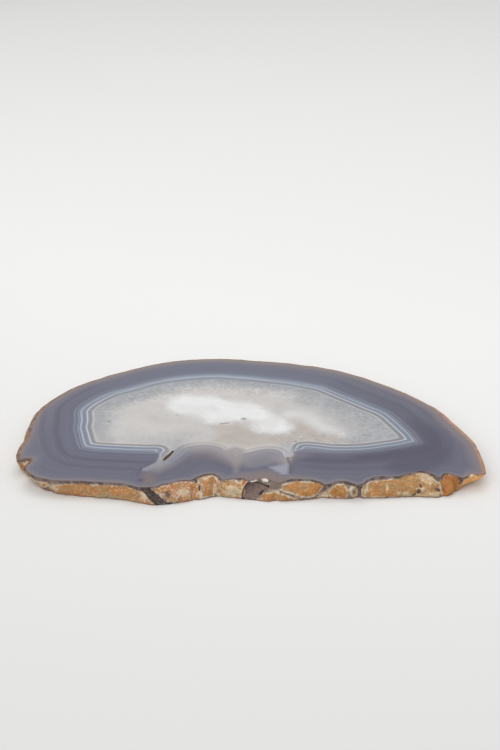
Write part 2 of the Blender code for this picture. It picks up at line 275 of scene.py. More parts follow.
# Lumps of coloured rind on the front wall: heat, width of the pale border, and outline in X and
# height. A lump whose border is wider than itself stays pale, and hot spots follow it.
RIND_LUMPS = (
    (0.0, 0.5, ((-75.6, 1.0), (-75.6, 6.5), (-66.5, 6.5), (-67.5, 3.4), (-70.0, 0.4), (-73.0, 0.0))),
    (0.3, 0.5, ((-65.7, 2.2), (-65.0, 3.2), (-63.7, 3.8), (-63.0, 3.1), (-63.5, 1.6), (-65.0, 1.0))),
    (0.0, 0.15, ((-63.0, 1.0), (-62.3, 2.5), (-59.6, 3.4), (-56.5, 4.2), (-53.1, 4.8), (-50.6, 4.9),
                 (-49.3, 4.2), (-47.2, 4.9), (-44.9, 5.0), (-42.1, 4.9), (-39.9, 4.8), (-36.8, 4.7),
                 (-34.4, 4.4), (-32.6, 3.4), (-30.8, 1.6), (-29.2, 0.0), (-34.0, 0.0), (-60.0, 0.0))),
    (0.05, 0.2, ((-30.1, 5.2), (-28.4, 6.3), (-25.9, 6.5), (-23.7, 7.1), (-21.2, 6.9), (-18.4, 6.5),
                 (-17.0, 5.9), (-15.9, 4.2), (-15.1, 1.9), (-15.2, 0.0), (-24.0, 0.0), (-25.1, 1.7),
                 (-26.5, 3.4), (-28.4, 4.2))),
    (0.1, 0.35, ((-16.2, 5.6), (-15.9, 6.9), (-14.6, 7.4), (-12.7, 7.4), (-11.2, 7.1), (-10.1, 6.3),
                 (-9.6, 5.3), (-10.5, 4.0), (-10.8, 2.6), (-10.7, 0.0), (-14.8, 0.0), (-15.0, 1.9),
                 (-15.5, 3.7))),
    (0.0, 0.35, ((-10.3, 3.7), (-9.3, 5.3), (-7.1, 6.0), (-4.9, 6.1), (-3.4, 5.9), (-2.4, 4.7), (-1.8, 4.1),
                 (-1.2, 3.2), (-1.9, 1.1), (-2.7, 0.0), (-9.6, 0.0), (-10.5, 2.5))),
    (1.3, 0.2, ((-3.0, 5.6), (-2.0, 6.9), (-0.6, 7.0), (-0.2, 6.0), (-0.9, 4.9), (-2.2, 4.4))),
    (0.3, 0.15, ((3.8, 2.2), (5.4, 2.7), (7.3, 3.1), (9.8, 2.6), (12.3, 1.7), (14.8, 0.6), (16.0, 0.0),
                 (4.2, 0.0))),
    (0.3, 0.1, ((6.4, 3.5), (8.2, 3.7), (9.6, 4.2), (11.0, 3.0), (13.4, 2.0), (15.6, 0.9), (13.2, 1.9),
                (9.9, 2.9), (7.4, 3.3))),
    (0.35, 0.4, ((9.8, 4.6), (10.4, 5.8), (12.3, 6.1), (15.1, 6.4), (17.9, 6.4), (20.4, 6.1), (22.3, 5.6),
                 (23.3, 4.4), (22.8, 3.2), (21.4, 1.7), (19.8, 0.7), (17.9, 0.8), (15.7, 1.3), (13.5, 2.3),
                 (11.0, 3.5))),
    (0.1, 0.9, ((22.2, 0.2), (22.9, 1.8), (24.2, 2.4), (24.8, 1.4), (24.6, 0.0))),
    (0.4, 0.35, ((24.8, 2.1), (25.6, 3.8), (27.0, 5.0), (29.0, 5.2), (30.4, 4.2), (30.9, 2.5), (30.4, 0.5),
                 (27.9, 0.0), (25.3, 0.3))),
    (0.3, 0.8, ((31.1, 4.0), (32.0, 4.6), (33.2, 3.9), (33.9, 2.4), (33.9, 0.6), (32.6, 0.4), (31.3, 2.0))),
    (0.0, 0.35, ((34.9, 2.9), (35.7, 4.7), (37.6, 5.9), (40.1, 5.9), (42.6, 6.0), (45.4, 6.6), (47.9, 7.6),
                 (50.4, 8.5), (52.9, 8.9), (55.4, 8.7), (57.3, 7.7), (58.9, 6.2), (59.8, 4.5), (60.0, 2.4),
                 (58.9, 0.3), (55.1, 0.0), (36.7, 0.0), (35.0, 1.3))),
    (0.1, 0.0, ((36.5, 4.7), (37.9, 5.3), (40.1, 5.4), (41.7, 4.9), (41.8, 3.0), (41.5, 1.0), (39.2, 0.4),
                (37.0, 1.0), (36.2, 3.0))),
    (0.3, 0.0, ((42.6, 4.9), (45.1, 6.0), (47.9, 7.0), (49.4, 7.4), (50.6, 6.4), (50.4, 4.8), (49.0, 3.6),
                (46.9, 2.9), (45.1, 2.7), (42.9, 3.2))),
    (0.2, 0.0, ((42.9, 2.0), (45.4, 2.1), (47.6, 1.7), (47.0, 0.4), (43.6, 0.3))),
    (0.5, 0.0, ((49.0, 2.4), (50.4, 3.1), (51.7, 2.7), (51.2, 1.5), (49.5, 1.2))),
    (0.3, 0.0, ((55.1, 4.2), (56.4, 4.6), (57.6, 4.0), (57.8, 3.0), (56.7, 2.3), (55.4, 2.8))),
    (0.1, 0.0, ((54.4, 2.0), (57.3, 1.7), (57.0, 0.4), (54.3, 0.5))),
    (0.95, 0.0, ((59.9, 6.2), (61.1, 7.9), (63.0, 7.8), (65.0, 6.0), (65.9, 2.8), (65.7, 1.0), (64.4, 0.0),
                 (60.0, 0.0))),
    (0.3, -0.2, ((65.8, 0.9), (66.8, 2.8), (68.4, 3.6), (70.6, 3.9), (72.6, 4.2), (75.2, 4.6), (75.6, 2.0),
                 (72.7, 0.2), (66.4, 0.0))),
)
# Holes and crevices on the front wall, painted shade over the rind's own brown: from X, height to X,
# height, half width, darkness
RIND_HOLES = (
    (-32.0, 5.4, -26.6, 0.0, 1.65, 0.85),
    (-25.7, 4.3, -24.7, 2.8, 0.55, 0.15),
    (-25.2, 0.3, -23.8, 0.2, 0.35, 1.2),
    (-16.9, 6.9, -16.4, 5.8, 0.4, 0.7),
    (-15.5, 4.6, -15.3, 3.3, 0.4, 0.75),
    (-1.2, 4.2, -0.5, 5.6, 0.35, 1.1),
    (-0.5, 5.6, 1.6, 6.1, 0.32, 1.3),
    (1.6, 6.1, 3.4, 5.5, 0.32, 1.3),
    (3.4, 5.5, 6.1, 5.0, 0.35, 1.2),
    (3.5, 2.0, 4.4, 3.2, 0.45, 1.2),
    (-1.8, 0.2, -1.3, 0.4, 0.4, 1.1),
    (34.3, 6.4, 34.4, 4.2, 1.1, 0.45),
    (34.4, 4.2, 34.5, 0.6, 0.55, 0.35),
    (66.0, 6.8, 66.2, 4.6, 1.0, 0.45),
    (66.2, 4.6, 66.4, 2.6, 0.6, 0.45),
    (59.6, 7.2, 59.7, 5.6, 0.55, 0.4),
    (9.6, 3.3, 14.2, 1.7, 0.3, 0.3),
    (23.6, 5.4, 23.7, 3.0, 0.5, 0.3),
    (-1.7, 3.4, -2.0, 0.6, 0.35, 0.8),
    (53.9, 4.3, 54.1, 3.6, 0.45, 0.8),
    (53.4, 2.3, 52.9, 1.6, 0.55, 0.7),
    (52.0, 0.9, 51.1, 0.6, 0.3, 0.9),
    (58.5, 2.9, 59.2, 2.5, 0.6, 0.55),
)
# The wide pocket beside the middle with the slope of its border and the darkness of its floor,
# where painted shade darkens the hollow, and the smoky face beside it that slopes down
POCKET = ((-2.0, 3.9), (-1.0, 2.9), (-1.9, 0.6), (-1.4, 0.0), (2.3, 0.0), (3.5, 1.3), (3.3, 2.5),
          (3.7, 3.2), (5.6, 3.5), (6.7, 4.5), (6.0, 5.4), (3.5, 5.8), (1.8, 6.4), (0.1, 6.1), (-0.9, 5.2))
POCKET_SLOPE = 0.7
POCKET_DARKNESS = 0.2
SMOKY_SLOPE = ((6.4, 8.0), (10.6, 7.6), (10.0, 4.4), (8.8, 3.4), (7.0, 3.9), (6.3, 5.4))
# A soft brown valley in the arched lump, painted shade in the crease between its two lobes: from X,
# height to X, height, half width
VALLEY_SHADE = (-11.8, 6.8, -11.9, 0.5, 1.0)
# Oval spots on the front wall: X, height, half width, half height. White chips, places where the
# lumps are cream instead of orange, the tip at the right end, whose rind is painted brighter than its
# own orange as painted light for the downward slope there, and green stains.
RIND_CHIPS = ((1.6, 6.6, 1.4, 0.7), (5.0, 6.9, 1.4, 0.85), (69.8, 3.9, 0.9, 0.5))
RIND_CREAM = ((-5.2, 2.4, 5.2, 3.0), (56.6, 6.8, 3.2, 2.2), (57.4, 1.0, 3.2, 1.3), (53.8, 2.6, 1.7, 1.6),
              (50.5, 0.6, 5.0, 0.9), (39.0, 0.4, 4.0, 0.6), (-27.6, 2.0, 1.6, 1.6), (-13.6, 6.9, 2.4, 0.7),
              (-70.0, 4.6, 5.0, 2.4), (-67.6, 1.4, 3.2, 2.4), (-61.5, 2.0, 2.4, 1.6),
              (-32.4, 2.6, 1.6, 2.6), (43.0, 3.4, 0.5, 2.0), (47.4, 1.5, 3.4, 0.9), (36.4, 3.0, 0.9, 2.6),
              (-20.4, 3.4, 3.4, 1.8))
# The tip's oval: its rind is painted brighter than its own orange, as painted light on the downward slope
RIND_TIP_PAINTED_LIGHT = (70.8, 2.4, 5.4, 3.4)
RIND_STAINS = ((-4.1, 2.3, 1.7, 1.3), (-23.4, 0.9, 1.6, 0.8), (-27.9, 1.0, 1.6, 1.2),
               (-44.0, 0.9, 7.0, 0.7), (50.0, 0.6, 4.0, 0.6))
# Where the rind is strewn with red and white grains, and where it isn't: X and share
RIND_GRAINS = ((-75.0, 0.2), (-40.0, 0.25), (-24.0, 0.75), (-15.5, 0.8), (-12.0, 0.35), (-7.0, 0.35),
               (0.0, 0.25), (12.0, 0.06), (75.0, 0.06))
# How far the dark skin reaches down over the lumps: X and width
SKIN_WIDTHS = ((-75.0, 0.6), (-60.0, 0.75), (-33.0, 0.7), (-28.0, 0.25), (-10.0, 0.3), (8.0, 0.4),
               (14.0, 0.6), (34.0, 0.7), (58.0, 0.65), (64.0, 0.45), (70.0, 0.3))
# Beyond these distances from a lump's border, or from that of the pocket and slope, nothing changes
RIND_REACH = 2.0
POCKET_REACH = 1.0

# How far the upper rim steps back in front, where a lump's top shows: X and distance
RIM_STEPS = ((-60.0, 0.0), (-50.0, 0.1), (-44.0, -0.4), (-38.0, 0.1), (-31.0, -0.4), (-26.0, 0.0),
             (-20.9, 1.2), (-18.0, 0.9), (-15.9, 1.4), (-12.7, 1.7), (-9.8, 1.0), (-8.0, -0.7), (-5.2, 0.6),
             (-1.7, 0.9), (1.5, -0.4), (5.1, 0.9), (7.6, 0.0), (9.5, -0.6), (11.5, -0.1), (13.9, 0.7),
             (20.0, 0.7), (22.0, -0.2), (24.2, -1.9), (26.0, -1.2), (27.6, 0.0), (30.5, 0.1), (33.0, -1.1),
             (34.3, -1.9), (35.9, -1.2), (37.2, 0.9), (39.5, 2.0), (44.0, 1.1), (48.0, 1.3), (51.5, 0.7),
             (55.0, 1.9), (57.0, 1.8), (58.6, 0.2), (59.6, -1.2), (61.5, 0.6), (63.4, 0.8), (66.1, -1.2),
             (67.6, -0.8), (70.0, 0.3), (72.0, 0.0))
# The shares of the wall's height over which a step is made, the distance over which the steps
# begin at the ends, and how far a column may look aside before its step stops growing
RIM_STEP_ROWS = (0.5, 1.0)
RIM_STEP_START = 6.0
RIM_STEP_ASIDE = 0.5

# Lumps along the wall that faces away are drawn by chance from these ranges. Places along it are
# lengths added to the first value, so that they differ from every X in front.
AWAY_SEED = 23
AWAY_FROM = 100.0
AWAY_GAP = (4.5, 12.0)
AWAY_HALF_WIDTH = (2.2, 8.0)
AWAY_HALF_HEIGHT = (1.7, 3.4)
AWAY_MIDDLE = (1.6, 3.0)
AWAY_SQUARE = 3.0
AWAY_BORDER = 0.4
AWAY_HEAT = (-0.5, 0.4)
# In front of this Y the wall faces the camera
FRONT_WALL_Y = -20.0

# A ledge looks this much higher for each length that it is set back, seen as in the photograph
LEDGE_RISE = math.tan(math.radians(25.0))

# Fine relief of the rind: size of the noise and height. All of it is set back a little, fades out
# towards the faces over a share of the height, and has clefts between the lumps.
ROUGH_LAYERS = ((2.4, 0.10), (1.0, 0.09), (0.5, 0.05))
ROUGH_SET_BACK = 0.05
ROUGH_MARGIN = 0.12
CLEFT_DEPTH = 0.3
PIT_SIZE = 1.1
PIT_RADIUS = 0.35
PIT_DEPTH = 0.16
# The rim wavers by noise of these sizes and heights, read at one level, mostly inwards and less behind
RIM_WAVER = ((3.0, 0.16), (1.1, 0.12))
RIM_WAVER_LEVEL = 7.0
RIM_WAVER_INWARDS = 0.4
RIM_WAVER_LESS_BEHIND = 0.6
# Edges sharper than this aren't smoothed
SHARP_ANGLE = math.radians(38)
# How far the net of a face keeps off the rim, the white line and crack, and the veins, as shares
# of its step, and how close two points may lie to be made one
RIM_SHARE = 0.5
LINE_SHARE = 0.45
VEIN_SHARE = 0.4
SAME_POINT = 1e-5

# The photograph's view of the stone
CAMERA_PLACE = (0.0004, -0.38215, 0.199675)
CAMERA_TURN = (math.radians(65.0), 0.0, 0.0)
CAMERA_LENS = 60.0
CAMERA_SENSOR = 36.0

# The soft lamps behind and in front: name, place and width. Both are aimed at one point.
LAMPS = (
    ("rear_lamp", (0.06, 0.35, 1.1), 1.0),
    ("front_lamp", (-0.3, -0.6, 0.6), 0.9),
)
LAMP_AIM = (0.0, 0.05, 0.0)
# Painted light on the floor: it is brightest here, and its tone fades to this share between these two
# distances as a painted falloff of the light
FLOOR_LIGHT_POOL = (0.2, 0.6, 0.0)
FLOOR_LIGHT_FALLOFF = (0.5, 0.9)
FLOOR_LIGHT_FALLOFF_TO = 0.75
FLOOR_TINT = (1.0, 0.998, 0.985)
# Size of the floor's patches in metres, and how light the darker ones are beside the others
FLOOR_PATCH_SIZE = 0.8
FLOOR_UNEVEN = 0.99
FLOOR_ROUGHNESS = 0.9
FLOOR_SPECULAR = 0.1
# The floor lies this far below the stone, in metres
FLOOR_GAP = 2e-5

# A polished face seen at a low angle shows this much of the bright room on top of its own colour
SHEEN = 0.066
# The share of the light that a level face and the upright wall send on
FACE_LIGHT = 0.965
WALL_LIGHT = 1.18
# The darkest and the brightest that a colour of its own may be
DARKEST = 0.012
BRIGHTEST = 0.95

# Tones of the bands on each side of the stone, at shares of the way from the white line to the rim
BAND_STOPS = {
    "left": ((0.0, "mist_blue"), (0.08, "mist_blue"), (0.17, "blue_grey"), (0.3, "slate"),
             (0.42, "grey_violet"), (0.6, "grey_violet"), (0.85, "smoke_violet"), (1.0, "smoke_violet")),
    "front": ((0.0, "mist_blue"), (0.07, "mist_blue"), (0.15, "blue_grey"), (0.27, "grey_violet"),
              (0.4, "grey_violet"), (0.85, "grey_violet"), (1.0, "smoke_violet")),
    "rear": ((0.0, "pale_blue"), (0.04, "pale_blue"), (0.14, "mist_blue"), (0.24, "blue_grey"),
             (0.34, "slate"), (0.6, "slate"), (0.84, "smoke_violet"), (1.0, "rim_grey")),
    "right": ((0.0, "mist_blue"), (0.05, "mist_blue"), (0.12, "blue_grey"), (0.21, "grey_violet"),
              (0.31, "dark_violet"), (0.42, "dark_violet"), (0.54, "violet"), (0.8, "grey_violet"),
              (1.0, "grey_violet")),
    "dome": ((0.0, "dome_cream"), (0.07, "dome_cream"), (0.2, "dome_grey"), (0.36, "dome_brown"),
             (0.54, "violet"), (0.64, "grey_violet"), (0.86, "grey_violet"), (1.0, "violet")),
}
# Thin lines outside the white line: distance from it, half width, softness, strength and tone
THIN_LINES = (
    (1.1, 0.15, 0.4, 0.3, "slate"),
    (2.0, 0.14, 0.4, 0.9, "line_blue"),
    (3.0, 0.08, 0.3, 0.3, "line_blue"),
    (3.6, 0.08, 0.3, 0.3, "grey_violet"),
    (4.3, 0.1, 0.3, 0.2, "line_blue"),
    (5.0, 0.1, 0.4, 0.35, "violet"),
)
# Dark layers farther out: distance from the white line, half width, softness and strength
DARK_LAYERS = (
    (5.6, 0.2, 0.7, 0.25),
    (10.2, 0.4, 1.1, 0.42),
    (15.0, 0.4, 1.1, 0.3),
)
# The white line itself, the grey ring inside it and the soft line behind that: distance from the
# line, half width and softness. The thin lines, and the ring, are fainter on the domes.
WHITE_LINE_WIDTH = (0.0, 0.1, 0.27)
WHITE_LINE_LESS_ON_DOMES = 0.05
GAP_RING = (0.95, 0.3, 0.5)
GAP_RING_STRENGTH = (0.8, 0.12)
SOFT_LINE = (2.1, 0.15, 0.45)
SOFT_LINE_STRENGTH = 0.6
LINES_ON_DOMES = 0.25
# How strong the white line is where the sides' table has no lines and where it has them all
WHITE_LINE_STRENGTH = (0.08, 0.95)
# Layers along the bands. The broad ones have a size as a share of the bands' width and the fine
# ones in millimetres, and each has its share of the contrast.
BROAD_LAYERS = (0.035, 2.0)
BROAD_SHARE = 0.6
FINE_LAYERS = 0.8
FINE_SHARE = 0.4
# Their contrast at the rear, and at the front and right. Beyond this distance from the white line
# it is down to this share.
LAYER_CONTRAST = (0.35, 0.8)
LAYERS_FADE_AT = 14.0
LAYERS_FADE_TO = 0.6
# The ring inside the rim and the softness of the rind's edge, where it is grey and where it is tan
RING_STRENGTH = (0.55, 0.72)
EDGE_SOFTNESS = (0.2, 0.5)
# The ring fades out between these multiples of its width, and the edge is in full colour this far
# short of its own width
RING_FADE = (1.25, 0.15)
EDGE_FULL = 0.2

# Tones of the quartz at shares of this depth inside the white line: where it is clear, at the rear
# and in front
QUARTZ_DEPTH = 14.0
QUARTZ_STOPS = (
    ((0.0, "gap_grey"), (0.1, "gap_grey"), (0.17, "quartz_cool"), (0.4, "quartz_cool"), (0.75, "quartz"),
     (1.0, "quartz")),
    ((0.0, "mist_blue"), (0.06, "mist_blue"), (0.16, "quartz_cool"), (0.36, "quartz_cool"),
     (0.62, "quartz"), (1.0, "quartz")),
    ((0.0, "quartz_warm"), (0.06, "quartz_warm"), (0.16, "quartz"), (1.0, "quartz")),
)
# Tinted patches of the quartz: size and width of the noise at their border, strength and tone
QUARTZ_PATCHES = (
    ("warm", 6.0, 5.0, 0.9, "quartz_warm"),
    ("cool", 5.0, 5.0, 0.6, "quartz_cool"),
)
# Patches over the whole face: depths between which each fades in, strength and tone
FACE_PATCHES = (
    ("seam", -1.2, 1.0, 0.65, "dome_grey"),
    ("streak", -1.0, 0.8, 0.75, "fold_grey"),
    ("haze", -1.2, 1.4, 0.55, "fold_grey"),
    ("dusk", -3.5, 2.5, 0.75, "dark_violet"),
    ("smoky", -2.4, 2.0, 0.7, "smoky"),
    ("lilac", -0.7, 1.4, 0.9, "lilac"),
)
# The quartz's mottling fades in and out between these depths. It is weaker away from the rear and
# the right, and weakest in front and at the domes.
COMB_START = (1.5, 3.0)
COMB_END = (17.0, 7.0)
COMB_ELSEWHERE = 0.55
COMB_LESS_IN_FRONT = 0.75
# How strong the mottling is, and its pale strokes, which are drawn out along X
COMB_STRENGTH = 0.62
CLOUD_STRENGTH = 0.3
GRAIN_STRENGTH = 0.14
FLECK_STRENGTH = 0.34
FLECK_STRETCH = (0.45, 1.0, 1.0)
# The milk's right arm is thinner than the rest
MILK_ARM_STRENGTH = 0.43

# Sizes of the clouds and grain in the face and in the rind
FACE_GRAIN = {"cloud_size": 7.0, "grain_size": 0.7}
RIND_GRAIN = {"cloud_size": 2.4, "grain_size": 0.42}
# Noise that shifts a border or a shade to either side: size, width in all, and some with detail
LINE_WANDER = (5.0, 0.35, 2.0)
BAND_WAVER = (9.0, 0.07, 2.0)
EDGE_WAVER = (1.6, 0.63)
EDGE_BLOTCHES = (2.6, 1.3)
PATCH_BORDER = (1.5, 1.6)
RIND_RAGGED = (0.8, 0.55)
SKIN_WAVER = (0.7, 1.5)
HEART_WAVER = (1.7, 2.4)
HOT_CLOUDS = (2.8, 3.0, 1.0)
HOLE_RUBBLE = (0.6, 2.4)
RIND_FINE_SHADE = (0.33, 1.1)
RIND_BLOTS = (1.5, 0.9)
# Some textures are taken from other places in the noise, so that they don't coincide
VEIL_SHIFT = (3.0, 9.0, 1.0)
FLECK_SHIFT = (5.0, 21.0, 2.0)
HEAT_SHIFT = (2.0, 5.0, 9.0)
SPECKLE_SHIFT = (7.0, 3.0, 11.0)
BLOT_SHIFT = (13.0, 1.0, 6.0)
# Grains strewn over the rind: tone, size, shift, noise between which they show, and strength
GRAIN_LOOKS = (
    ("red_grain", 0.8, None, 0.52, 0.66, 0.75),
    ("pale_grain", 0.7, (31.0, 17.0, 5.0), 0.54, 0.66, 0.8),
)
# How strongly the ridges in the holes stand out, and how close they lie
RIDGE_CONTRAST = 1.2
RIDGE_STEP = 0.22
# Heats between which the lumps turn from ochre to orange, and from orange to ember
WARM_HEAT = (-0.3, 0.7)
EMBER_HEAT = (0.8, 1.9)
# Heights between which the line along the foot fades in
FOOT_HEIGHTS = (0.8, 0.15)

# Polish and relief. A bump has a strength and a depth in metres.
QUARTZ_IOR = 1.54
SCRATCH_SIZE = 3.0
FACE_ROUGHNESS = (0.16, 0.26)
RIM_ROUGHNESS = 0.25
FACE_BUMP = (0.12, 0.0002)
RIND_ROUGHNESS = (0.62, 0.9)
RIND_BUMP = (0.5, 0.0003)
RIND_SPECULAR = 0.3

# How the nodes are laid out in the editor
NODE_WIDTH = 220
NODE_HEIGHT = 190
NODES_IN_COLUMN = 8


def look_colour(name, description, red, green, blue):
    """A colour as it looks on the table, in parts of 255."""
    return FloatVectorProperty(
        name=name, description=description, subtype="COLOR_GAMMA", size=3, min=0.0, max=1.0,
        default=(red / 255, green / 255, blue / 255))


class StoneSizes(bpy.types.PropertyGroup):
    """Sizes of the stone's mesh, in millimetres."""
    face_step: FloatProperty(
        name="Face step", description="Distance between the points of the polished faces, in millimetres",
        default=0.76, min=0.4, max=4.0)
    front_step: FloatProperty(
        name="Front step", description="Distance between the columns of the front wall, in millimetres",
        default=0.33, min=0.2, max=4.0)
    away_step: FloatProperty(
        name="Rear step", description="Distance between the columns of the rear wall, in millimetres",
        default=0.62, min=0.2, max=4.0)
    roughness: FloatProperty(
        name="Rind relief", description="Strength of the fine relief on the rind",
        default=1.0, min=0.0, max=2.0, subtype="FACTOR")


class StoneColours(bpy.types.PropertyGroup):
    """Colours of the agate, as they look in soft light."""
    white_line: look_colour("White line", "The bright lines round the quartz", 190, 194, 203)
    line_blue: look_colour("Line blue", "The second line", 172, 178, 191)
    pale_blue: look_colour("Pale blue", "The pale band at the rear", 169, 174, 185)
    mist_blue: look_colour("Mist blue", "Between the thin lines", 134, 140, 154)
    blue_grey: look_colour("Blue grey", "Just outside the thin lines", 117, 121, 137)
    slate: look_colour("Slate", "The rear's dark band", 115, 117, 132)
    grey_violet: look_colour("Grey violet", "The left end's dark band", 111, 111, 125)
    violet: look_colour("Violet", "The front's dark band", 106, 105, 119)
    dark_violet: look_colour("Dark violet", "The darkest band, at the right", 95, 93, 107)
    smoke_violet: look_colour("Smoke violet", "Towards the rim", 122, 120, 131)
    rim_grey: look_colour("Rim grey", "The ring inside the rim", 142, 136, 136)
    rim_warm: look_colour("Warm rim", "The ring inside the rim at the right", 146, 132, 129)
    rim_tan: look_colour("Tan edge", "The rind's edge where it is light", 178, 143, 120)
    skin_brown: look_colour("Brown skin", "The rind's edge where it is dark", 100, 84, 80)
    dome_cream: look_colour("Dome cream", "The top of the domes", 160, 155, 157)
    dome_grey: look_colour("Dome grey", "Below the top of the domes", 148, 142, 144)
    dome_brown: look_colour("Dome brown", "The domes' middle band", 122, 116, 123)
    gap_grey: look_colour("Gap grey", "Inside the white line", 138, 138, 143)
    quartz: look_colour("Quartz", "The clear quartz", 198, 195, 193)
    quartz_cool: look_colour("Cool quartz", "The quartz near the rear", 162, 164, 168)
    quartz_warm: look_colour("Warm quartz", "The quartz near the domes", 183, 175, 169)
    milk: look_colour("Milk", "The milky patch", 229, 229, 229)
    lilac: look_colour("Lilac", "The lilac patch", 156, 156, 171)
    fold_grey: look_colour("Fold grey", "The flank of the left dome beside the fold", 141, 140, 148)
    smoky: look_colour("Smoky brown", "The smoky patches at the rim", 136, 121, 116)
    dark_vein: look_colour("Dark vein", "Hairlines and specks", 92, 86, 88)


class RindColours(bpy.types.PropertyGroup):
    """Colours of the rind, as they look in soft light."""
    ochre: look_colour("Ochre", "The rind's common colour", 172, 131, 84)
    orange: look_colour("Orange", "Warm lumps", 182, 121, 64)
    ember: look_colour("Ember", "The hottest spots of the lumps", 162, 94, 44)
    cream: look_colour("Cream", "Mottling of the lumps", 210, 186, 150)
    pale_border: look_colour("Pale border", "The lumps' borders", 202, 197, 182)
    between: look_colour("Between the lumps", "The greyish rind between the lumps", 136, 118, 110)
    dark_skin: look_colour("Dark skin", "The line below the rim", 88, 76, 74)
    # The holes' tones: the rind's own brown darkened by painted shade, and painted shadow where deepest
    hole: look_colour("Hole", "Holes and crevices", 88, 74, 70)
    ridge: look_colour("Ridge", "The ridges in the holes", 132, 114, 106)
    hole_shadow: look_colour("Shadow", "The deepest holes", 40, 30, 28)
    smoke: look_colour("Smoky slope", "The face that slopes down beside the pocket", 130, 112, 101)
    # Painted shade: the brown of the crease between the arched lump's lobes
    valley: look_colour("Valley", "The brown valley in the arched lump", 144, 100, 64)
    chip: look_colour("Chip", "White chips", 226, 222, 214)
    stain: look_colour("Stain", "Green-grey stains", 168, 158, 126)
    # Painted light: the tip's rind is painted brighter than its own orange, where its downward slope lies in
    # shade
    tip: look_colour("Tip", "The bright rind that leans over the table at the right end", 242, 182, 116)
    foot: look_colour("Foot", "The line along the foot", 134, 86, 60)
    red_grain: look_colour("Red grain", "Red grains", 196, 104, 62)
    pale_grain: look_colour("Pale grain", "Pale grains", 222, 208, 202)


class StageLook(bpy.types.PropertyGroup):
    """The floor and the light."""
    floor_width: FloatProperty(
        name="Floor", description="Width of the floor", default=12.0, min=1.0, unit="LENGTH")
    floor_grey: FloatProperty(
        name="Floor grey", description="How light the floor is", default=0.84, min=0.0, max=1.0,
        subtype="FACTOR")
    sky: FloatProperty(
        name="Sky", description="Strength of the light from all round", default=0.68, min=0.0)
    rear_lamp: FloatProperty(
        name="Rear lamp", description="Power of the soft lamp behind", default=3.2, min=0.0, unit="POWER")
    front_lamp: FloatProperty(
        name="Front lamp", description="Power of the soft lamp in front", default=3.6, min=0.0, unit="POWER")


def smooth_stretch(points, step):
    """Points about a step apart on a smooth curve through the given ones, without the last."""
    ends = [2 * np.array(points[0]) - np.array(points[1])]
    ends += [np.array(point, float) for point in points]
    ends.append(2 * ends[-1] - ends[-2])
    curve = []
    for before, start, end, after in zip(ends, ends[1:], ends[2:], ends[3:]):
        pieces = max(1, round(float(np.linalg.norm(end - start)) / step))
        for share in np.arange(pieces) / pieces:
            curve.append(0.5 * (
                2 * start + (end - before) * share
                + (2 * before - 5 * start + 4 * end - after) * share ** 2
                + (3 * start - before - 3 * end + after) * share ** 3))
    return curve


def white_line(step):
    """The whole white line as one closed row of points."""
    return np.array([point for stretch in WHITE_LINE for point in smooth_stretch(stretch, step)])


def measure(points, line, closed=True, sharp=False):
    """Distance from each point to a line, and the nearest place on it."""
    if len(line) == 1:
        nearest = np.broadcast_to(line[0], points.shape)
        return np.linalg.norm(points - nearest, axis=1), nearest
    starts = line if closed else line[:-1]
    runs = (np.roll(line, -1, 0) if closed else line[1:]) - starts
    lengths = np.maximum(np.linalg.norm(runs, axis=1), 1e-9)
    gaps = np.empty(len(points))
    nearest = np.empty((len(points), 2))
    for first in range(0, len(points), POINTS_AT_ONCE):
        batch = slice(first, first + POINTS_AT_ONCE)
        part = points[batch, None, :]
        share = np.clip(((part - starts) * runs).sum(-1) / lengths ** 2, 0, 1)
        feet = starts + share[..., None] * runs
        away = np.linalg.norm(part - feet, axis=-1)
        best = away.argmin(1)
        rows = np.arange(len(best))
        gap = away[rows, best]
        if sharp:
            side = share[rows, best]
            across = np.abs(cross(part[:, 0] - starts[best], runs[best])) / lengths[best]
            other = (best + np.where(side >= 1, 1, -1)) % len(starts)
            beyond = np.abs(cross(part[:, 0] - starts[other], runs[other])) / lengths[other]
            at_corner = (side <= 0) | (side >= 1)
            mitred = np.minimum(gap, np.maximum(np.maximum(across, beyond), CORNER_REACH * gap))
            mitred += (gap - mitred) * smooth_step(*CORNER_ROUND, gap)
            gap = np.where(at_corner, mitred, gap)
        gaps[batch] = gap
        nearest[batch] = feet[rows, best]
    return gaps, nearest


def rim_gap(points, rim):
    """Distance from each point to the rim, whose own points stand close together."""
    middles = (rim + np.roll(rim, -1, 0)) / 2
    tree = KDTree(2 * len(rim))
    for number, (x, y) in enumerate(np.concatenate([rim, middles])):
        tree.insert((x, y, 0.0), number)
    tree.balance()
    return np.array([tree.find((x, y, 0.0))[2] for x, y in points])


def cross(one, other):
    """The level cross product of rows of vectors."""
    return one[:, 0] * other[:, 1] - one[:, 1] * other[:, 0]


def inside(points, loop):
    """True for the points within a closed loop."""
    ends = np.roll(loop, -1, 0)
    within = np.zeros(len(points), bool)
    for (x0, y0), (x1, y1) in zip(loop, ends):
        crosses = (y0 > points[:, 1]) != (y1 > points[:, 1])
        if y1 != y0:
            within ^= crosses & (points[:, 0] < (x1 - x0) * (points[:, 1] - y0) / (y1 - y0) + x0)
    return within


def smooth_step(low, high, value):
    """0 below the low value, 1 above the high one and smooth between."""
    share = np.clip((value - low) / (high - low), 0, 1)
    return share * share * (3 - 2 * share)


def coarse_share(places):
    """0 for places at the front wall, which is divided finely, and 1 for those behind."""
    return smooth_step(FINE_IN_FRONT_OF, COARSE_BEHIND, places[:, 1])


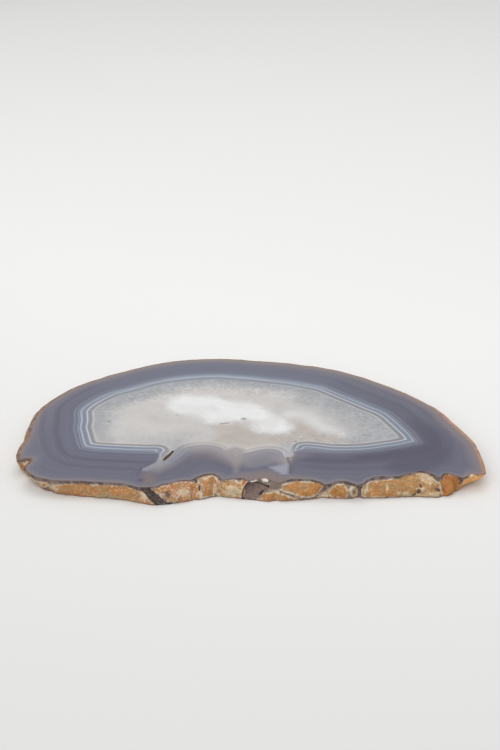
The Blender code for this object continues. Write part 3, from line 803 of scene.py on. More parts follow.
class Wall:
    """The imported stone's wall, as columns that look out from the spine."""

    def __init__(self, sizes):
        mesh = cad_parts["agate_slice"].data
        corners = [corner.co / MM for corner in mesh.vertices]
        self.tree = BVHTree.FromPolygons(corners, [tuple(face.vertices) for face in mesh.polygons])
        turns = np.linspace(0, math.tau, LOOKOUT_STEPS, endpoint=False)
        first = self.columns(turns)
        path = self.row(first, THICKNESS / 2)
        steps = np.linalg.norm(np.roll(path, -1, 0) - path, axis=1)
        wanted = steps / (sizes.front_step + (sizes.away_step - sizes.front_step) * coarse_share(path))
        reached = np.concatenate(([0], np.cumsum(wanted)))
        count = int(round(reached[-1]))
        turns = np.interp(
            np.linspace(0, reached[-1], count, endpoint=False), reached, np.append(turns, math.tau))
        self.starts, self.ways = self.columns(turns)
        self.heights = np.array(WALL_ROWS) * THICKNESS
        levels = np.clip(self.heights, FACE_MARGIN, THICKNESS - FACE_MARGIN)
        rows = [self.row((self.starts, self.ways), level) for level in levels]
        self.reach = np.array([((row - self.starts) * self.ways).sum(1) for row in rows])
        self.soften()
        middle = self.middle()
        self.coarse = coarse_share(middle)
        self.travel = np.concatenate(([0], np.cumsum(np.linalg.norm(np.diff(middle, axis=0), axis=1))))

    def columns(self, turns):
        """Where each column starts on the spine, and which way it looks."""
        lookout = np.stack([LOOKOUT[0] * np.cos(turns), LOOKOUT[1] * np.sin(turns)], 1)
        feet = measure(lookout, np.array(SPINE), closed=False)[1]
        ways = lookout - feet
        return feet, ways / np.linalg.norm(ways, axis=1)[:, None]

    def row(self, columns, height):
        """The wall's places at one height."""
        places = []
        for start, way in zip(*columns):
            outside = Vector((*(start + way * LOOKOUT[0]), height))
            hit = self.tree.ray_cast(outside, Vector((-way[0], -way[1], 0.0)))[0]
            if hit is None:
                raise RuntimeError("a column of the wall doesn't meet the packed stone")
            places.append((hit.x, hit.y))
        return np.array(places)

    def soften(self):
        """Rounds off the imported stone's facets, more where they are wide."""
        fine = self.spread(self.reach, FINE_SPREAD)
        wide = self.spread(self.reach, COARSE_SPREAD)
        self.reach = fine + (wide - fine) * coarse_share(self.middle())

    @staticmethod
    def spread(values, times):
        """Each column averaged with its neighbours, some times over."""
        for _ in range(times):
            values = (np.roll(values, 1, 1) + 2 * values + np.roll(values, -1, 1)) / 4
        return values

    def places(self):
        """Level places of the whole wall: rows, columns, X and Y."""
        return self.starts + self.reach[..., None] * self.ways

    def middle(self):
        """Level places of the row halfway up the wall."""
        return self.places()[len(self.heights) // 2]

    def step_rim(self):
        """Steps the upper rim back over the front lumps, and forward between them."""
        places = self.places()[-1]
        front = smooth_step(FRONT_WALL_Y, FRONT_WALL_Y - RIM_STEP_START, places[:, 1])
        back = np.interp(places[:, 0], *np.array(RIM_STEPS).T) * front
        shares = smooth_step(*RIM_STEP_ROWS, self.heights / THICKNESS)
        self.reach = self.reach - shares[:, None] * back / np.maximum(-self.ways[:, 1], RIM_STEP_ASIDE)

    def rise(self):
        """How high each place of the wall looks from the front, where a ledge stands above a wall."""
        return self.heights[:, None] + LEDGE_RISE * (self.reach[0] - self.reach)

    def below_rim(self):
        """How far each place lies below the upper rim, along the wall."""
        falls = np.diff(self.heights)[:, None]
        steps = np.hypot(falls, np.diff(self.reach, axis=0))
        return np.concatenate([np.cumsum(steps[::-1], 0)[::-1], np.zeros((1, self.reach.shape[1]))])

    def course(self):
        """How far along the wall each column stands: X in front, and a length on the far side."""
        middle = self.middle()
        return np.where(middle[:, 1] < FRONT_WALL_Y, middle[:, 0], AWAY_FROM + self.travel)

    def roughen(self, lumps, sizes):
        """Gives the wall its grain and pits, none of them at the faces but a waver of the rim."""
        places = self.places()
        levels = self.heights / THICKNESS
        off_faces = smooth_step(0.0, ROUGH_MARGIN, levels) * smooth_step(0.0, ROUGH_MARGIN, 1 - levels)
        near_rim = 1 - RIM_WAVER_LESS_BEHIND * self.coarse
        for row, height in enumerate(self.heights):
            for column, (x, y) in enumerate(places[row]):
                at = Vector((x, y, height))
                rise = sum(high * noise.noise(at / size) for size, high in ROUGH_LAYERS)
                near = noise.voronoi(at / PIT_SIZE)[0][0]
                rise -= PIT_DEPTH * max(0.0, 1 - near / PIT_RADIUS)
                at.z = RIM_WAVER_LEVEL
                waver = sum(high * (noise.noise(at / size) - RIM_WAVER_INWARDS) for size, high in RIM_WAVER)
                cleft = CLEFT_DEPTH * max(-1.0, min(0.0, lumps[row, column]))
                self.reach[row, column] += sizes.roughness * (
                    (rise + cleft - ROUGH_SET_BACK) * off_faces[row] + waver * near_rim[column])


class Markings:
    """Numbers at each point of the mesh that the materials read."""

    def __init__(self):
        self.numbers = {}

    def add(self, name, values):
        """Numbers of one name for the next points of the mesh."""
        self.numbers.setdefault(name, []).append(np.asarray(values, float))

    def fill(self, count):
        """Zeros, for points where none of the numbers so far are read."""
        for parts in self.numbers.values():
            parts.append(np.zeros((count, *parts[0].shape[1:])))

    def store(self, mesh):
        """Writes each row of numbers to the mesh."""
        for name, parts in self.numbers.items():
            values = np.concatenate(parts)
            kind, field = ("FLOAT_VECTOR", "vector") if values.ndim == 2 else ("FLOAT", "value")
            attribute = mesh.attributes.new(name, kind, "POINT")
            attribute.data.foreach_set(field, values.ravel().astype(np.float32))


def side_shares(points, table):
    """How much each point looks like each side of the stone, and its ring and edge."""
    gaps = np.linalg.norm(points[:, None] - table[:, :2], axis=-1)
    weights = 1 / (gaps ** 2 + SIDE_SOFTNESS) ** 2
    return (weights / weights.sum(1)[:, None]) @ table[:, 2:]


def mark_faces(marks, points, rim):
    """The bands, patches and veins at level points of the stone."""
    line = white_line(LINE_STEP)
    gap, nearest = measure(points, line, sharp=True)
    within = inside(points, line)
    sides = side_shares(points, np.array(SIDES))
    for area, stretches, *widths in STRAIGHT_BANDS:
        area = np.array(area)
        here = inside(points, area) & ~within
        if not here.any():
            continue
        lines = np.array([point for stretch in stretches for point in smooth_stretch(stretch, LINE_STEP)])
        width = np.interp(-points[here][:, 1], (-area[:, 1].max(), -LOW_CORNER[1]), widths)
        share = np.clip(patch_depth(points[here], area) / width, 0, 1)
        gap[here] += (measure(points[here], lines, closed=False, sharp=True)[0] - gap[here]) * share
        if area[0][0] <= LEFT_SIDES_TO:
            left_rows = np.array([row for row in SIDES if row[0] <= LEFT_SIDES_TO])
            sides[here] += (side_shares(points[here], left_rows) - sides[here]) * share[:, None]
    marks.add("line_mm", np.where(within, -gap, gap))
    marks.add("rim_mm", rim_gap(points, rim))
    marks.add("nearest_mm", np.column_stack([nearest, np.zeros(len(points))]))
    for name, values in zip(SIDE_NAMES, sides.T):
        marks.add(name, values)
    for name, loops in PATCHES.items():
        marks.add(name, np.max([patch_depth(points, np.array(loop)) for loop in loops], 0))
    for name, veins in (("pale_vein", PALE_VEINS), ("dark_vein", DARK_VEINS)):
        gaps = [measure(points, np.array(course), closed=False)[0] / half for half, course in veins]
        marks.add(name, np.minimum(np.min(gaps, 0), VEIN_REACH))


def patch_depth(points, loop, reach=PATCH_REACH):
    """How deep inside a patch each point lies, below zero outside it."""
    low, high = loop.min(0) - reach, loop.max(0) + reach
    near = ((points > low) & (points < high)).all(1)
    depth = np.full(len(points), -reach)
    gap = measure(points[near], loop)[0]
    depth[near] = np.clip(np.where(inside(points[near], loop), gap, -gap), -reach, reach)
    return depth


def ellipse_depth(course, height, x, z, half_width, half_height, square=2.0):
    """1 in the middle of a spot on the wall, 0 on its border and less outside it."""
    reach = np.abs((course - x) / half_width) ** square + np.abs((height - z) / half_height) ** square
    return np.maximum(1 - reach ** (1 / square), -1)


def hole_depth(course, height, x0, z0, x1, z1, half):
    """1 on a line across the wall, 0 at the half width from it and less beyond."""
    points = np.column_stack([course, height])
    gap = measure(points, np.array(((x0, z0), (x1, z1))), closed=False)[0]
    return np.maximum(1 - gap / half, -1)


def away_lumps(longest):
    """Lumps on the wall that faces away, drawn by chance."""
    chance = random.Random(AWAY_SEED)
    lumps = []
    at = AWAY_FROM
    while at < AWAY_FROM + longest:
        at += chance.uniform(*AWAY_GAP)
        lumps.append((at, chance.uniform(*AWAY_MIDDLE), chance.uniform(*AWAY_HALF_WIDTH),
                      chance.uniform(*AWAY_HALF_HEIGHT), AWAY_SQUARE, chance.uniform(*AWAY_HEAT)))
    return lumps


def rind_fields(course, height, longest):
    """Lumps, heat, holes, chips, stains and grains of the rind at places on the wall."""
    places = np.column_stack([course, height])
    front = course < AWAY_FROM

    def in_front(depths):
        """The greatest of some depths, which count on the front wall alone."""
        return np.where(front, np.max(depths, 0), -1)

    def spots(rows):
        """How deep inside the nearest of some oval spots in front each place lies."""
        return in_front([ellipse_depth(course, height, *row) for row in rows])

    bodies = [patch_depth(places, np.array(outline), RIND_REACH) for _, _, outline in RIND_LUMPS]
    cores = [body - border for body, (_, border, _) in zip(bodies, RIND_LUMPS)]
    heats = [heat for heat, _, _ in RIND_LUMPS]
    for *oval, heat in away_lumps(longest):
        body = ellipse_depth(course, height, *oval) * min(oval[2:4])
        bodies.append(np.where(front, -RIND_REACH, body))
        cores.append(bodies[-1] - AWAY_BORDER)
        heats.append(heat)
    hollows = [hole_depth(course, height, *row[:5]) for row in RIND_HOLES]
    hollows.append(patch_depth(places, np.array(POCKET), POCKET_REACH) * POCKET_SLOPE)
    darkness = np.array([row[5] for row in RIND_HOLES] + [POCKET_DARKNESS])
    return {
        "body": np.clip(np.max(bodies, 0), -RIND_REACH, RIND_REACH),
        "core": np.clip(np.max(cores, 0), -RIND_REACH, RIND_REACH),
        "lump_heat": np.array(heats)[np.argmax(cores, 0)],
        "hole": in_front(hollows),
        "darkness": darkness[np.argmax(hollows, 0)],
        "chip": spots(RIND_CHIPS),
        "stain": spots(RIND_STAINS),
        "cream": spots(RIND_CREAM),
        "tip": spots([RIND_TIP_PAINTED_LIGHT]),
        "slope": in_front([patch_depth(places, np.array(SMOKY_SLOPE), POCKET_REACH)]),
        "valley": in_front([hole_depth(course, height, *VALLEY_SHADE)]),
        "grains": np.interp(course, *np.array(RIND_GRAINS).T),
        "skin_mm": np.interp(course, *np.array(SKIN_WIDTHS).T),
    }


def hex_points(step, low, high):
    """Points of a net of even triangles over a rectangle."""
    rise = step * math.sqrt(3) / 2
    rows = np.arange(low[1], high[1], rise)
    return np.array([
        (x, y) for number, y in enumerate(rows)
        for x in np.arange(low[0] + (number % 2) * step / 2, high[0], step)])


def crack_outline():
    """The crack's mouth as a closed loop."""
    middle = np.array([row[:2] for row in CRACK])
    ways = np.gradient(middle, axis=0)
    ways /= np.linalg.norm(ways, axis=1)[:, None]
    aside = np.stack([-ways[:, 1], ways[:, 0]], 1) * np.array([[row[2]] for row in CRACK])
    return np.concatenate([middle + aside, (middle - aside)[::-1]])


def triangulate(rim, step, with_crack):
    """Points and triangles of a polished face. The first points are the rim's."""
    loops = [rim, white_line(step)]
    if with_crack:
        loops.append(crack_outline())
    runs = [np.array(smooth_stretch(course, step) + [course[-1]])
            for _, course in PALE_VEINS + DARK_VEINS if len(course) > 1]
    net = hex_points(step, rim.min(0), rim.max(0))
    net = net[inside(net, rim)]
    keep = rim_gap(net, rim) > RIM_SHARE * step
    for line in loops[1:]:
        keep &= measure(net, line)[0] > LINE_SHARE * step
    for line in runs:
        keep &= measure(net, line, closed=False)[0] > VEIN_SHARE * step
    points = np.concatenate(loops + runs + [net[keep]])
    edges = []
    first = 0
    for line in loops:
        edges += [(first + n, first + (n + 1) % len(line)) for n in range(len(line))]
        first += len(line)
    for line in runs:
        edges += [(first + n, first + n + 1) for n in range(len(line) - 1)]
        first += len(line)
    made, _, faces, origins, _, _ = delaunay_2d_cdt(
        [Vector(point) for point in points], edges, [], 0, SAME_POINT)
    made = np.array([tuple(point) for point in made])
    faces = np.array(faces)
    middles = made[faces].mean(1)
    wanted = inside(middles, rim)
    if with_crack:
        wanted &= ~inside(middles, loops[2])
    return made, faces[wanted], origins


class StoneMesh:
    """Gathers the stone's points and faces in millimetres."""

    def __init__(self):
        self.points = []
        self.faces = []
        self.rough = []
        self.count = 0

    def add_points(self, points):
        """Adds points and gives back the number of their first one."""
        first = self.count
        self.points.append(np.asarray(points, float))
        self.count += len(points)
        return first

    def add_faces(self, faces, rough):
        """Adds faces, of the rind or polished."""
        self.faces += [tuple(int(corner) for corner in face) for face in faces]
        self.rough += [rough] * len(faces)

    def add_wall(self, wall):
        """The wall's rows of points and the quads between them."""
        places = wall.places()
        rows, columns = places.shape[:2]
        self.add_points(np.column_stack([places.reshape(-1, 2), np.repeat(wall.heights, columns)]))
        pairs = [(column, (column + 1) % columns) for column in range(columns)]
        for low in range(0, (rows - 1) * columns, columns):
            high = low + columns
            self.add_faces([(low + here, low + beside, high + beside, high + here) for here, beside in pairs],
                           True)

    def add_face(self, rim_first, rim, height, step, with_crack):
        """A polished face whose rim points are the wall's. Returns its new points."""
        made, faces, origins = triangulate(rim, step, with_crack)
        numbers = np.empty(len(made), int)
        fresh = []
        for index, sources in enumerate(origins):
            on_rim = [source for source in sources if source < len(rim)]
            if on_rim:
                numbers[index] = rim_first + on_rim[0]
            else:
                numbers[index] = self.count + len(fresh)
                fresh.append(index)
        self.add_points(np.column_stack([made[fresh], np.full(len(fresh), height)]))
        corners = numbers[faces]
        if height < THICKNESS / 2:
            corners = corners[:, ::-1]
        self.add_faces(corners, False)
        return made[fresh]

    def add_crack(self):
        """The crack's sides and floor under its mouth."""
        mouth = crack_outline()
        middle = mouth.mean(0)
        floor = np.array([row[:2] for row in CRACK])
        floor = np.concatenate([floor, floor[::-1]])
        floor = floor + (mouth - floor) * CRACK_FLOOR_SHARE
        top = self.add_points(np.column_stack([mouth, np.full(len(mouth), THICKNESS)]))
        low = self.add_points(np.column_stack([floor, np.full(len(floor), THICKNESS - CRACK_DEPTH)]))
        count = len(mouth)
        self.add_faces([
            (top + n, low + n, low + (n + 1) % count, top + (n + 1) % count) for n in range(count)], True)
        last = low + count - 1
        self.add_faces([(low + n, low + n + 1, last - 1 - n, last - n) for n in range(count // 2 - 1)], True)
        return np.concatenate([mouth, floor])

    def build(self, name):
        """The finished mesh, in metres."""
        points = np.concatenate(self.points)
        points[:, :2] = np.clip(points[:, :2], LOW_CORNER[:2], HIGH_CORNER[:2])
        mesh = bpy.data.meshes.new(name)
        mesh.from_pydata((points * MM).tolist(), [], self.faces)
        mesh.polygons.foreach_set("material_index", np.array(self.rough, np.int32))
        mesh.polygons.foreach_set("use_smooth", np.ones(len(self.faces), bool))
        mesh.set_sharp_from_angle(angle=SHARP_ANGLE)
        mesh.update()
        return mesh


def make_stone(sizes):
    """The stone's mesh with the numbers that its materials read."""
    wall = Wall(sizes)
    wall.step_rim()
    course = wall.course()
    longest = float(wall.travel[-1])
    rows, columns = wall.reach.shape
    lumps = rind_fields(np.tile(course, rows), wall.rise().ravel(), longest)
    wall.roughen(lumps["body"].reshape(rows, columns), sizes)
    lumps["below_rim"] = wall.below_rim().ravel()
    stone = StoneMesh()
    marks = Markings()
    stone.add_wall(wall)
    places = wall.places()
    upper_rim, lower_rim = places[-1], places[0]
    mark_faces(marks, lower_rim, lower_rim)
    marks.fill((rows - 2) * columns)
    mark_faces(marks, upper_rim, upper_rim)
    for name, values in lumps.items():
        marks.add(name, values)
    upper = stone.add_face((rows - 1) * columns, upper_rim, THICKNESS, sizes.face_step, True)
    mark_faces(marks, upper, upper_rim)
    lower = stone.add_face(0, lower_rim, 0.0, sizes.face_step, False)
    mark_faces(marks, lower, lower_rim)
    crack = stone.add_crack()
    mark_faces(marks, crack, upper_rim)
    for name in lumps:
        marks.add(name, np.zeros(len(upper) + len(lower)))
        marks.add(name, np.full(len(crack), CRACK_LOOK.get(name, 0.0)))
    mesh = stone.build("agate_stone")
    marks.store(mesh)
    return mesh


def to_linear(colour):
    """A colour as it looks, as light."""
    return tuple(c / 12.92 if c <= 0.04045 else ((c + 0.055) / 1.055) ** 2.4 for c in colour)


def polished(colour):
    """The stone's own colour below the room's reflection."""
    return tuple(max(DARKEST, (c - SHEEN) / FACE_LIGHT) for c in to_linear(colour)) + (1.0,)


def upright(colour):
    """The rind's own colour, brighter than it looks in the wall's weaker light."""
    return tuple(min(BRIGHTEST, c / WALL_LIGHT) for c in to_linear(colour)) + (1.0,)


class Reading:
    """What a socket gives. Sums and products of readings make the nodes that work them out."""

    def __init__(self, board, socket):
        self.board = board
        self.socket = socket

    def __add__(self, other):
        return self.board.math("ADD", self, other)

    def __sub__(self, other):
        return self.board.math("SUBTRACT", self, other)

    def __rsub__(self, other):
        return self.board.math("SUBTRACT", other, self)

    def __mul__(self, other):
        return self.board.math("MULTIPLY", self, other)

    def __truediv__(self, other):
        return self.board.math("DIVIDE", self, other)

    def __rtruediv__(self, other):
        return self.board.math("DIVIDE", other, self)

    __radd__ = __add__
    __rmul__ = __mul__


class Board:
    """A node tree on which nodes are placed and joined."""

    def __init__(self, tree):
        self.tree = tree
        self.count = 0
        self.numbers = {}
        self.tones = {}
        self.place = None

    def add(self, kind, inputs=(), **settings):
        """A new node, with its inputs fed."""
        node = self.tree.nodes.new(kind)
        column, row = divmod(self.count, NODES_IN_COLUMN)
        node.location = (NODE_WIDTH * column, -NODE_HEIGHT * row)
        self.count += 1
        for name, value in settings.items():
            setattr(node, name, value)
        for name, value in dict(inputs).items():
            self.feed(node.inputs[name], value)
        return node

    def make(self, kind, inputs=(), outlet=0, **settings):
        """The reading of a new node's outlet."""
        return Reading(self, self.add(kind, inputs, **settings).outputs[outlet])

    def feed(self, socket, value):
        """Joins a socket to a reading or sets its value."""
        if isinstance(value, Reading):
            self.tree.links.new(value.socket, socket)
        else:
            socket.default_value = value

    def readings(self, node):
        """All the outlets of a node, by name."""
        return {outlet.name: Reading(self, outlet) for outlet in node.outputs}

    def group(self, tree, **values):
        """The readings of a shared effect that has its own values."""
        inputs = {name.replace("_", " ").capitalize(): value for name, value in values.items()}
        return self.readings(self.add("ShaderNodeGroup", inputs, node_tree=tree))

    def number(self, name):
        """A number stored on the mesh."""
        if name not in self.numbers:
            self.numbers[name] = self.make(
                "ShaderNodeAttribute", outlet="Fac", attribute_name=name, label=name)
        return self.numbers[name]

    def math(self, how, *values):
        """A sum, product or the like."""
        return self.make("ShaderNodeMath", enumerate(values), operation=how)

    def larger(self, one, other):
        """The larger of two numbers stored on the mesh."""
        return self.math("MAXIMUM", self.number(one), self.number(other))

    def moved(self, place, step):
        """A vector with another one added."""
        return self.make("ShaderNodeVectorMath", {0: place, 1: step}, operation="ADD")

    def scaled(self, vector, factor):
        """A vector or a colour times a number."""
        return self.make("ShaderNodeVectorMath", {0: vector, "Scale": factor}, operation="SCALE")

    def locate(self, unit):
        """Sets the places that the noise is read at: those on the object, in the given unit."""
        self.place = self.scaled(self.make("ShaderNodeTexCoord", outlet="Object"), 1 / unit)

    def fade(self, value, low, high, out_low=0.0, out_high=1.0):
        """A smooth change from one value to another as a number goes from low to high."""
        inputs = {"Value": value, "From Min": low, "From Max": high, "To Min": out_low, "To Max": out_high}
        return self.make("ShaderNodeMapRange", inputs, interpolation_type="SMOOTHSTEP")

    def mix(self, share, one, other):
        """One colour over another. Either may be the name of a tone."""
        inputs = {0: share, 6: self.tones.get(one, one), 7: self.tones.get(other, other)}
        return self.make("ShaderNodeMix", inputs, 2, data_type="RGBA", clamp_factor=True)

    def cover(self, colour, tone, value, low, high, most=1.0):
        """A tone over a colour: none of it where a number is low and the most where it is high."""
        return self.mix(self.fade(value, low, high, 0.0, most), colour, tone)

    def ramp(self, value, stops):
        """Tones along a number from 0 to 1."""
        node = self.add("ShaderNodeValToRGB", {0: value})
        node.color_ramp.interpolation = "B_SPLINE"
        elements = node.color_ramp.elements
        while len(elements) < len(stops):
            elements.new(0.5)
        for element, (position, tone) in zip(elements, stops):
            element.position = position
            element.color = self.tones[tone]
        return Reading(self, node.outputs[0])

    def noise(self, size, detail=2.0, roughness=0.5, shift=None, at=None):
        """Soft noise from 0 to 1 with features of the given size. A shift gives other features."""
        place = at or self.place
        if shift:
            place = self.moved(place, shift)
        inputs = {"Vector": place, "Scale": 1 / size, "Detail": detail, "Roughness": roughness}
        return self.make("ShaderNodeTexNoise", inputs)

    def noise_along(self, value, size, detail=1.0):
        """Noise along a single number."""
        inputs = {"W": value, "Scale": 1 / size, "Detail": detail}
        return self.make("ShaderNodeTexNoise", inputs, noise_dimensions="1D")

    def swing(self, size, width=1.0, detail=3.0, roughness=0.5, shift=None):
        """Noise that goes to either side of 0, within the given width in all."""
        return (self.noise(size, detail, roughness, shift) - 0.5) * width


class Paint(Board):
    """The board of one material, with its shader and the effects that it shares."""

    def __init__(self, name, unit=MM, effects=None):
        self.material = bpy.data.materials.new(name)
        self.material.use_nodes = True
        super().__init__(self.material.node_tree)
        self.shader = self.tree.nodes["Principled BSDF"]
        self.effects = effects
        self.locate(unit)

    def line(self, distance, place, half_width, softness):
        """The mask of a thin line at one distance."""
        values = {"place": place, "half_width": half_width, "softness": softness}
        return self.group(self.effects["line"], distance=distance, **values)["Mask"]

    def bump(self, height, strength, depth):
        """The normal of a fine relief."""
        return self.make("ShaderNodeBump", {"Height": height, "Strength": strength, "Distance": depth})

    def coat(self, values):
        """Feeds the shader and gives back the finished material."""
        for name, value in values.items():
            self.feed(self.shader.inputs[name], value)
        return self.material


def new_group(name, inputs, outputs):
    """A node group with named numbers: its board, what it is given and the sockets of its result."""
    tree = bpy.data.node_groups.new(name, "ShaderNodeTree")
    for title, default in inputs.items():
        socket = tree.interface.new_socket(title, in_out="INPUT", socket_type="NodeSocketFloat")
        socket.default_value = default
    for title in outputs:
        tree.interface.new_socket(title, in_out="OUTPUT", socket_type="NodeSocketFloat")
    board = Board(tree)
    return board, board.readings(board.add("NodeGroupInput")), board.add("NodeGroupOutput").inputs


def thin_line_group():
    """A group that marks a thin line at one distance."""
    board, given, result = new_group(
        "Thin line", {"Distance": 0.0, "Place": 0.0, "Half width": 0.3, "Softness": 0.3}, ("Mask",))
    off = board.math("ABSOLUTE", given["Distance"] - given["Place"])
    half = given["Half width"]
    board.feed(result["Mask"], board.fade(off, half, half + given["Softness"], 1.0, 0.0))
    return board.tree


def mineral_group():
    """A group with the clouds and grain that the polished stone and the rind share."""
    board, given, result = new_group(
        "Mineral grain", {"Cloud size": 6.0, "Grain size": 0.6}, ("Cloud", "Grain"))
    board.locate(MM)
    for name, detail in (("Cloud", 3.0), ("Grain", 2.0)):
        board.feed(result[name], board.noise(given[f"{name} size"], detail))
    return board.tree


def tones_of(colours, as_paint):
    """The tones of a group of colours by name, as the shader needs them."""
    return {name: as_paint(getattr(colours, name)) for name in colours.__annotations__}


def polished_material(colours, effects):
    """The polished agate: bands, thin lines, quartz, patches and veins."""
    board = Paint("Polished agate", effects=effects)
    board.tones = tones_of(colours, polished)
    line = board.number("line_mm")
    rim = board.number("rim_mm")
    strength = board.number("lines")
    dome = board.number("dome")
    distance = line + board.swing(*LINE_WANDER)
    outside = board.math("MAXIMUM", line, 0.0)
    across = outside / (outside + rim + 0.01) + board.swing(*BAND_WAVER)
    bands = band_colours(board, across)
    bands = add_growth(board, bands, across, outside)
    bands = add_lines(board, bands, distance, strength * board.fade(dome, 0.0, 1.0, 1.0, LINES_ON_DOMES))
    bands = add_rim(board, bands, rim)
    heart = quartz_colours(board, distance, strength)
    colour = board.mix(board.fade(distance, -0.25, 0.15), heart, bands)
    show = board.line(distance, *WHITE_LINE_WIDTH) * board.fade(strength, 0.0, 0.8, *WHITE_LINE_STRENGTH)
    colour = board.mix(show * (1 - dome * WHITE_LINE_LESS_ON_DOMES), colour, "white_line")
    colour = add_patches(board, colour)
    scratch = board.noise(SCRATCH_SIZE, 4.0)
    rough = board.fade(scratch, 0.3, 0.7, *FACE_ROUGHNESS) + board.fade(rim, 1.2, 0.0, 0.0, RIM_ROUGHNESS)
    relief = scratch + board.fade(distance, -0.4, 0.2, 0.0, 0.4)
    return board.coat({"Base Color": colour, "Roughness": rough, "Normal": board.bump(relief, *FACE_BUMP),
                       "IOR": QUARTZ_IOR})


def band_colours(board, across):
    """The bands' colours from the white line to the rim, each side's laid over those before."""
    colour = None
    for side, stops in BAND_STOPS.items():
        ramp = board.ramp(across, stops)
        colour = board.mix(board.number(side), colour, ramp) if colour else ramp
    return colour


def add_growth(board, bands, across, outside):
    """Light and dark layers that run along with the bands."""
    elsewhere = 1 - board.larger("rear", "dome")
    for place, half_width, softness, share in DARK_LAYERS:
        mask = board.line(outside, place, half_width, softness)
        bands = board.mix(mask * (elsewhere * share), bands, "dark_violet")
    layers = board.noise_along(across, *BROAD_LAYERS) * BROAD_SHARE
    layers = layers + board.noise_along(outside, FINE_LAYERS) * FINE_SHARE
    near = board.fade(outside, 0.0, LAYERS_FADE_AT, 1.0, LAYERS_FADE_TO)
    clear = board.fade(board.larger("right", "front"), 0.2, 0.8, *LAYER_CONTRAST)
    return board.scaled(bands, (layers - 0.5) * near * clear + 1)


def add_lines(board, bands, distance, strength):
    """The thin lines outside the white line."""
    for place, half_width, softness, share, tone in THIN_LINES:
        mask = board.line(distance, place, half_width, softness)
        bands = board.mix(mask * (strength * share), bands, tone)
    return bands


def add_rim(board, bands, rim):
    """The pale ring inside the rim and the rind's cut edge."""
    tan = board.number("tan")
    strength = board.fade(tan, 0.0, 0.5, *RING_STRENGTH)
    ring = board.fade(rim / board.number("ring_mm"), *RING_FADE, 0.0, strength)
    bands = board.mix(ring, bands, board.mix(tan, "rim_grey", "rim_warm"))
    edge_colour = board.mix(tan + board.swing(*EDGE_BLOTCHES), "skin_brown", "rim_tan")
    width = board.number("edge_mm") + board.swing(*EDGE_WAVER)
    inner = width + board.fade(tan, 0.5, 1.0, *EDGE_SOFTNESS)
    return board.mix(board.fade(rim, inner, width - EDGE_FULL), bands, edge_colour)


def quartz_colours(board, distance, strength):
    """The quartz inside the white line, with its combs and soft line."""
    depth = distance * -1
    share = depth / QUARTZ_DEPTH
    clear, veiled, bright = (board.ramp(share, stops) for stops in QUARTZ_STOPS)
    colour = board.mix(board.number("rear"), clear, veiled)
    front = board.larger("dome", "front")
    colour = board.mix(front, colour, bright)
    for name, size, width, most, tone in QUARTZ_PATCHES:
        colour = board.cover(colour, tone, board.number(name) + board.swing(size, width), -3.0, 3.0, most)
    ring = board.line(depth, *GAP_RING) * board.fade(board.number("dome"), 0.0, 1.0, *GAP_RING_STRENGTH)
    colour = board.mix(ring * strength, colour, "gap_grey")
    colour = board.mix(board.line(depth, *SOFT_LINE) * (strength * SOFT_LINE_STRENGTH), colour, "quartz")
    reach = board.fade(board.larger("rear", "right"), 0.0, 0.5, COMB_ELSEWHERE, 1.0)
    reach = reach * board.fade(depth, *COMB_START) * board.fade(depth, *COMB_END)
    reach = reach * (1 - front * COMB_LESS_IN_FRONT)
    mottle = comb_texture(board, depth) - 0.5 + board.swing(1.0, detail=2.0, roughness=0.6)
    mineral = board.group(board.effects["mineral"], **FACE_GRAIN)
    cloud = (mineral["Cloud"] - 0.5) * CLOUD_STRENGTH
    grain = (mineral["Grain"] - 0.5) * GRAIN_STRENGTH
    lift = mottle * (reach * COMB_STRENGTH) + 1 + (cloud + grain) + quartz_flecks(board) * reach
    return board.scaled(colour, lift)


def quartz_flecks(board):
    """Small pale strokes among the crystals, drawn out along the stone."""
    drawn = board.make("ShaderNodeVectorMath", {0: board.place, 1: FLECK_STRETCH}, operation="MULTIPLY")
    strokes = board.fade(board.noise(0.8, 2.0, 0.6, at=drawn), 0.53, 0.66, 0.0, FLECK_STRENGTH)
    return strokes * board.fade(board.noise(6.0, shift=FLECK_SHIFT), 0.42, 0.6)


def comb_texture(board, depth):
    """Crystals that point away from the white line, so their mottling is drawn out inwards."""
    nearest = board.make("ShaderNodeAttribute", outlet="Vector", attribute_name="nearest_mm")
    inwards = board.make("ShaderNodeCombineXYZ", {"Z": depth * 0.8})
    return board.noise(1.6, 3.0, 0.6, at=board.moved(nearest, inwards))


def add_patches(board, colour):
    """The milky, lilac and smoky patches, and the veins."""
    shift = board.swing(4.0, 4.5) + board.swing(1.2, 2.0)
    milk = board.fade(board.number("milk") + shift, -2.4, 2.8)
    arm = board.fade(board.number("milk_arm") + shift, -2.2, 3.0, 0.0, MILK_ARM_STRENGTH)
    streaks = board.noise(2.2, 4.0, 0.6)
    veils = board.fade(board.noise(8.0, shift=VEIL_SHIFT), 0.35, 0.6, 0.72, 1.0)
    milk = board.math("MAXIMUM", milk, arm) * (veils * board.fade(streaks, 0.2, 0.6, 0.84, 1.0))
    colour = board.mix(milk, colour, "milk")
    border = board.swing(*PATCH_BORDER)
    for name, low, high, most, tone in FACE_PATCHES:
        patch = board.fade(board.number(name) + border, low, high, 0.0, most)
        # The haze ends at the white line
        if name == "haze":
            patch = patch * board.fade(board.number("line_mm"), 0.3, 1.0)
        colour = board.mix(patch, colour, tone)
    pale = board.fade(board.number("pale_vein"), 1.7, 0.2, 0.0, 0.45)
    colour = board.mix(pale * board.fade(streaks, 0.2, 0.55, 0.4, 1.0), colour, "pale_blue")
    return board.cover(colour, "dark_vein", board.number("dark_vein"), 2.0, 0.3, 0.6)


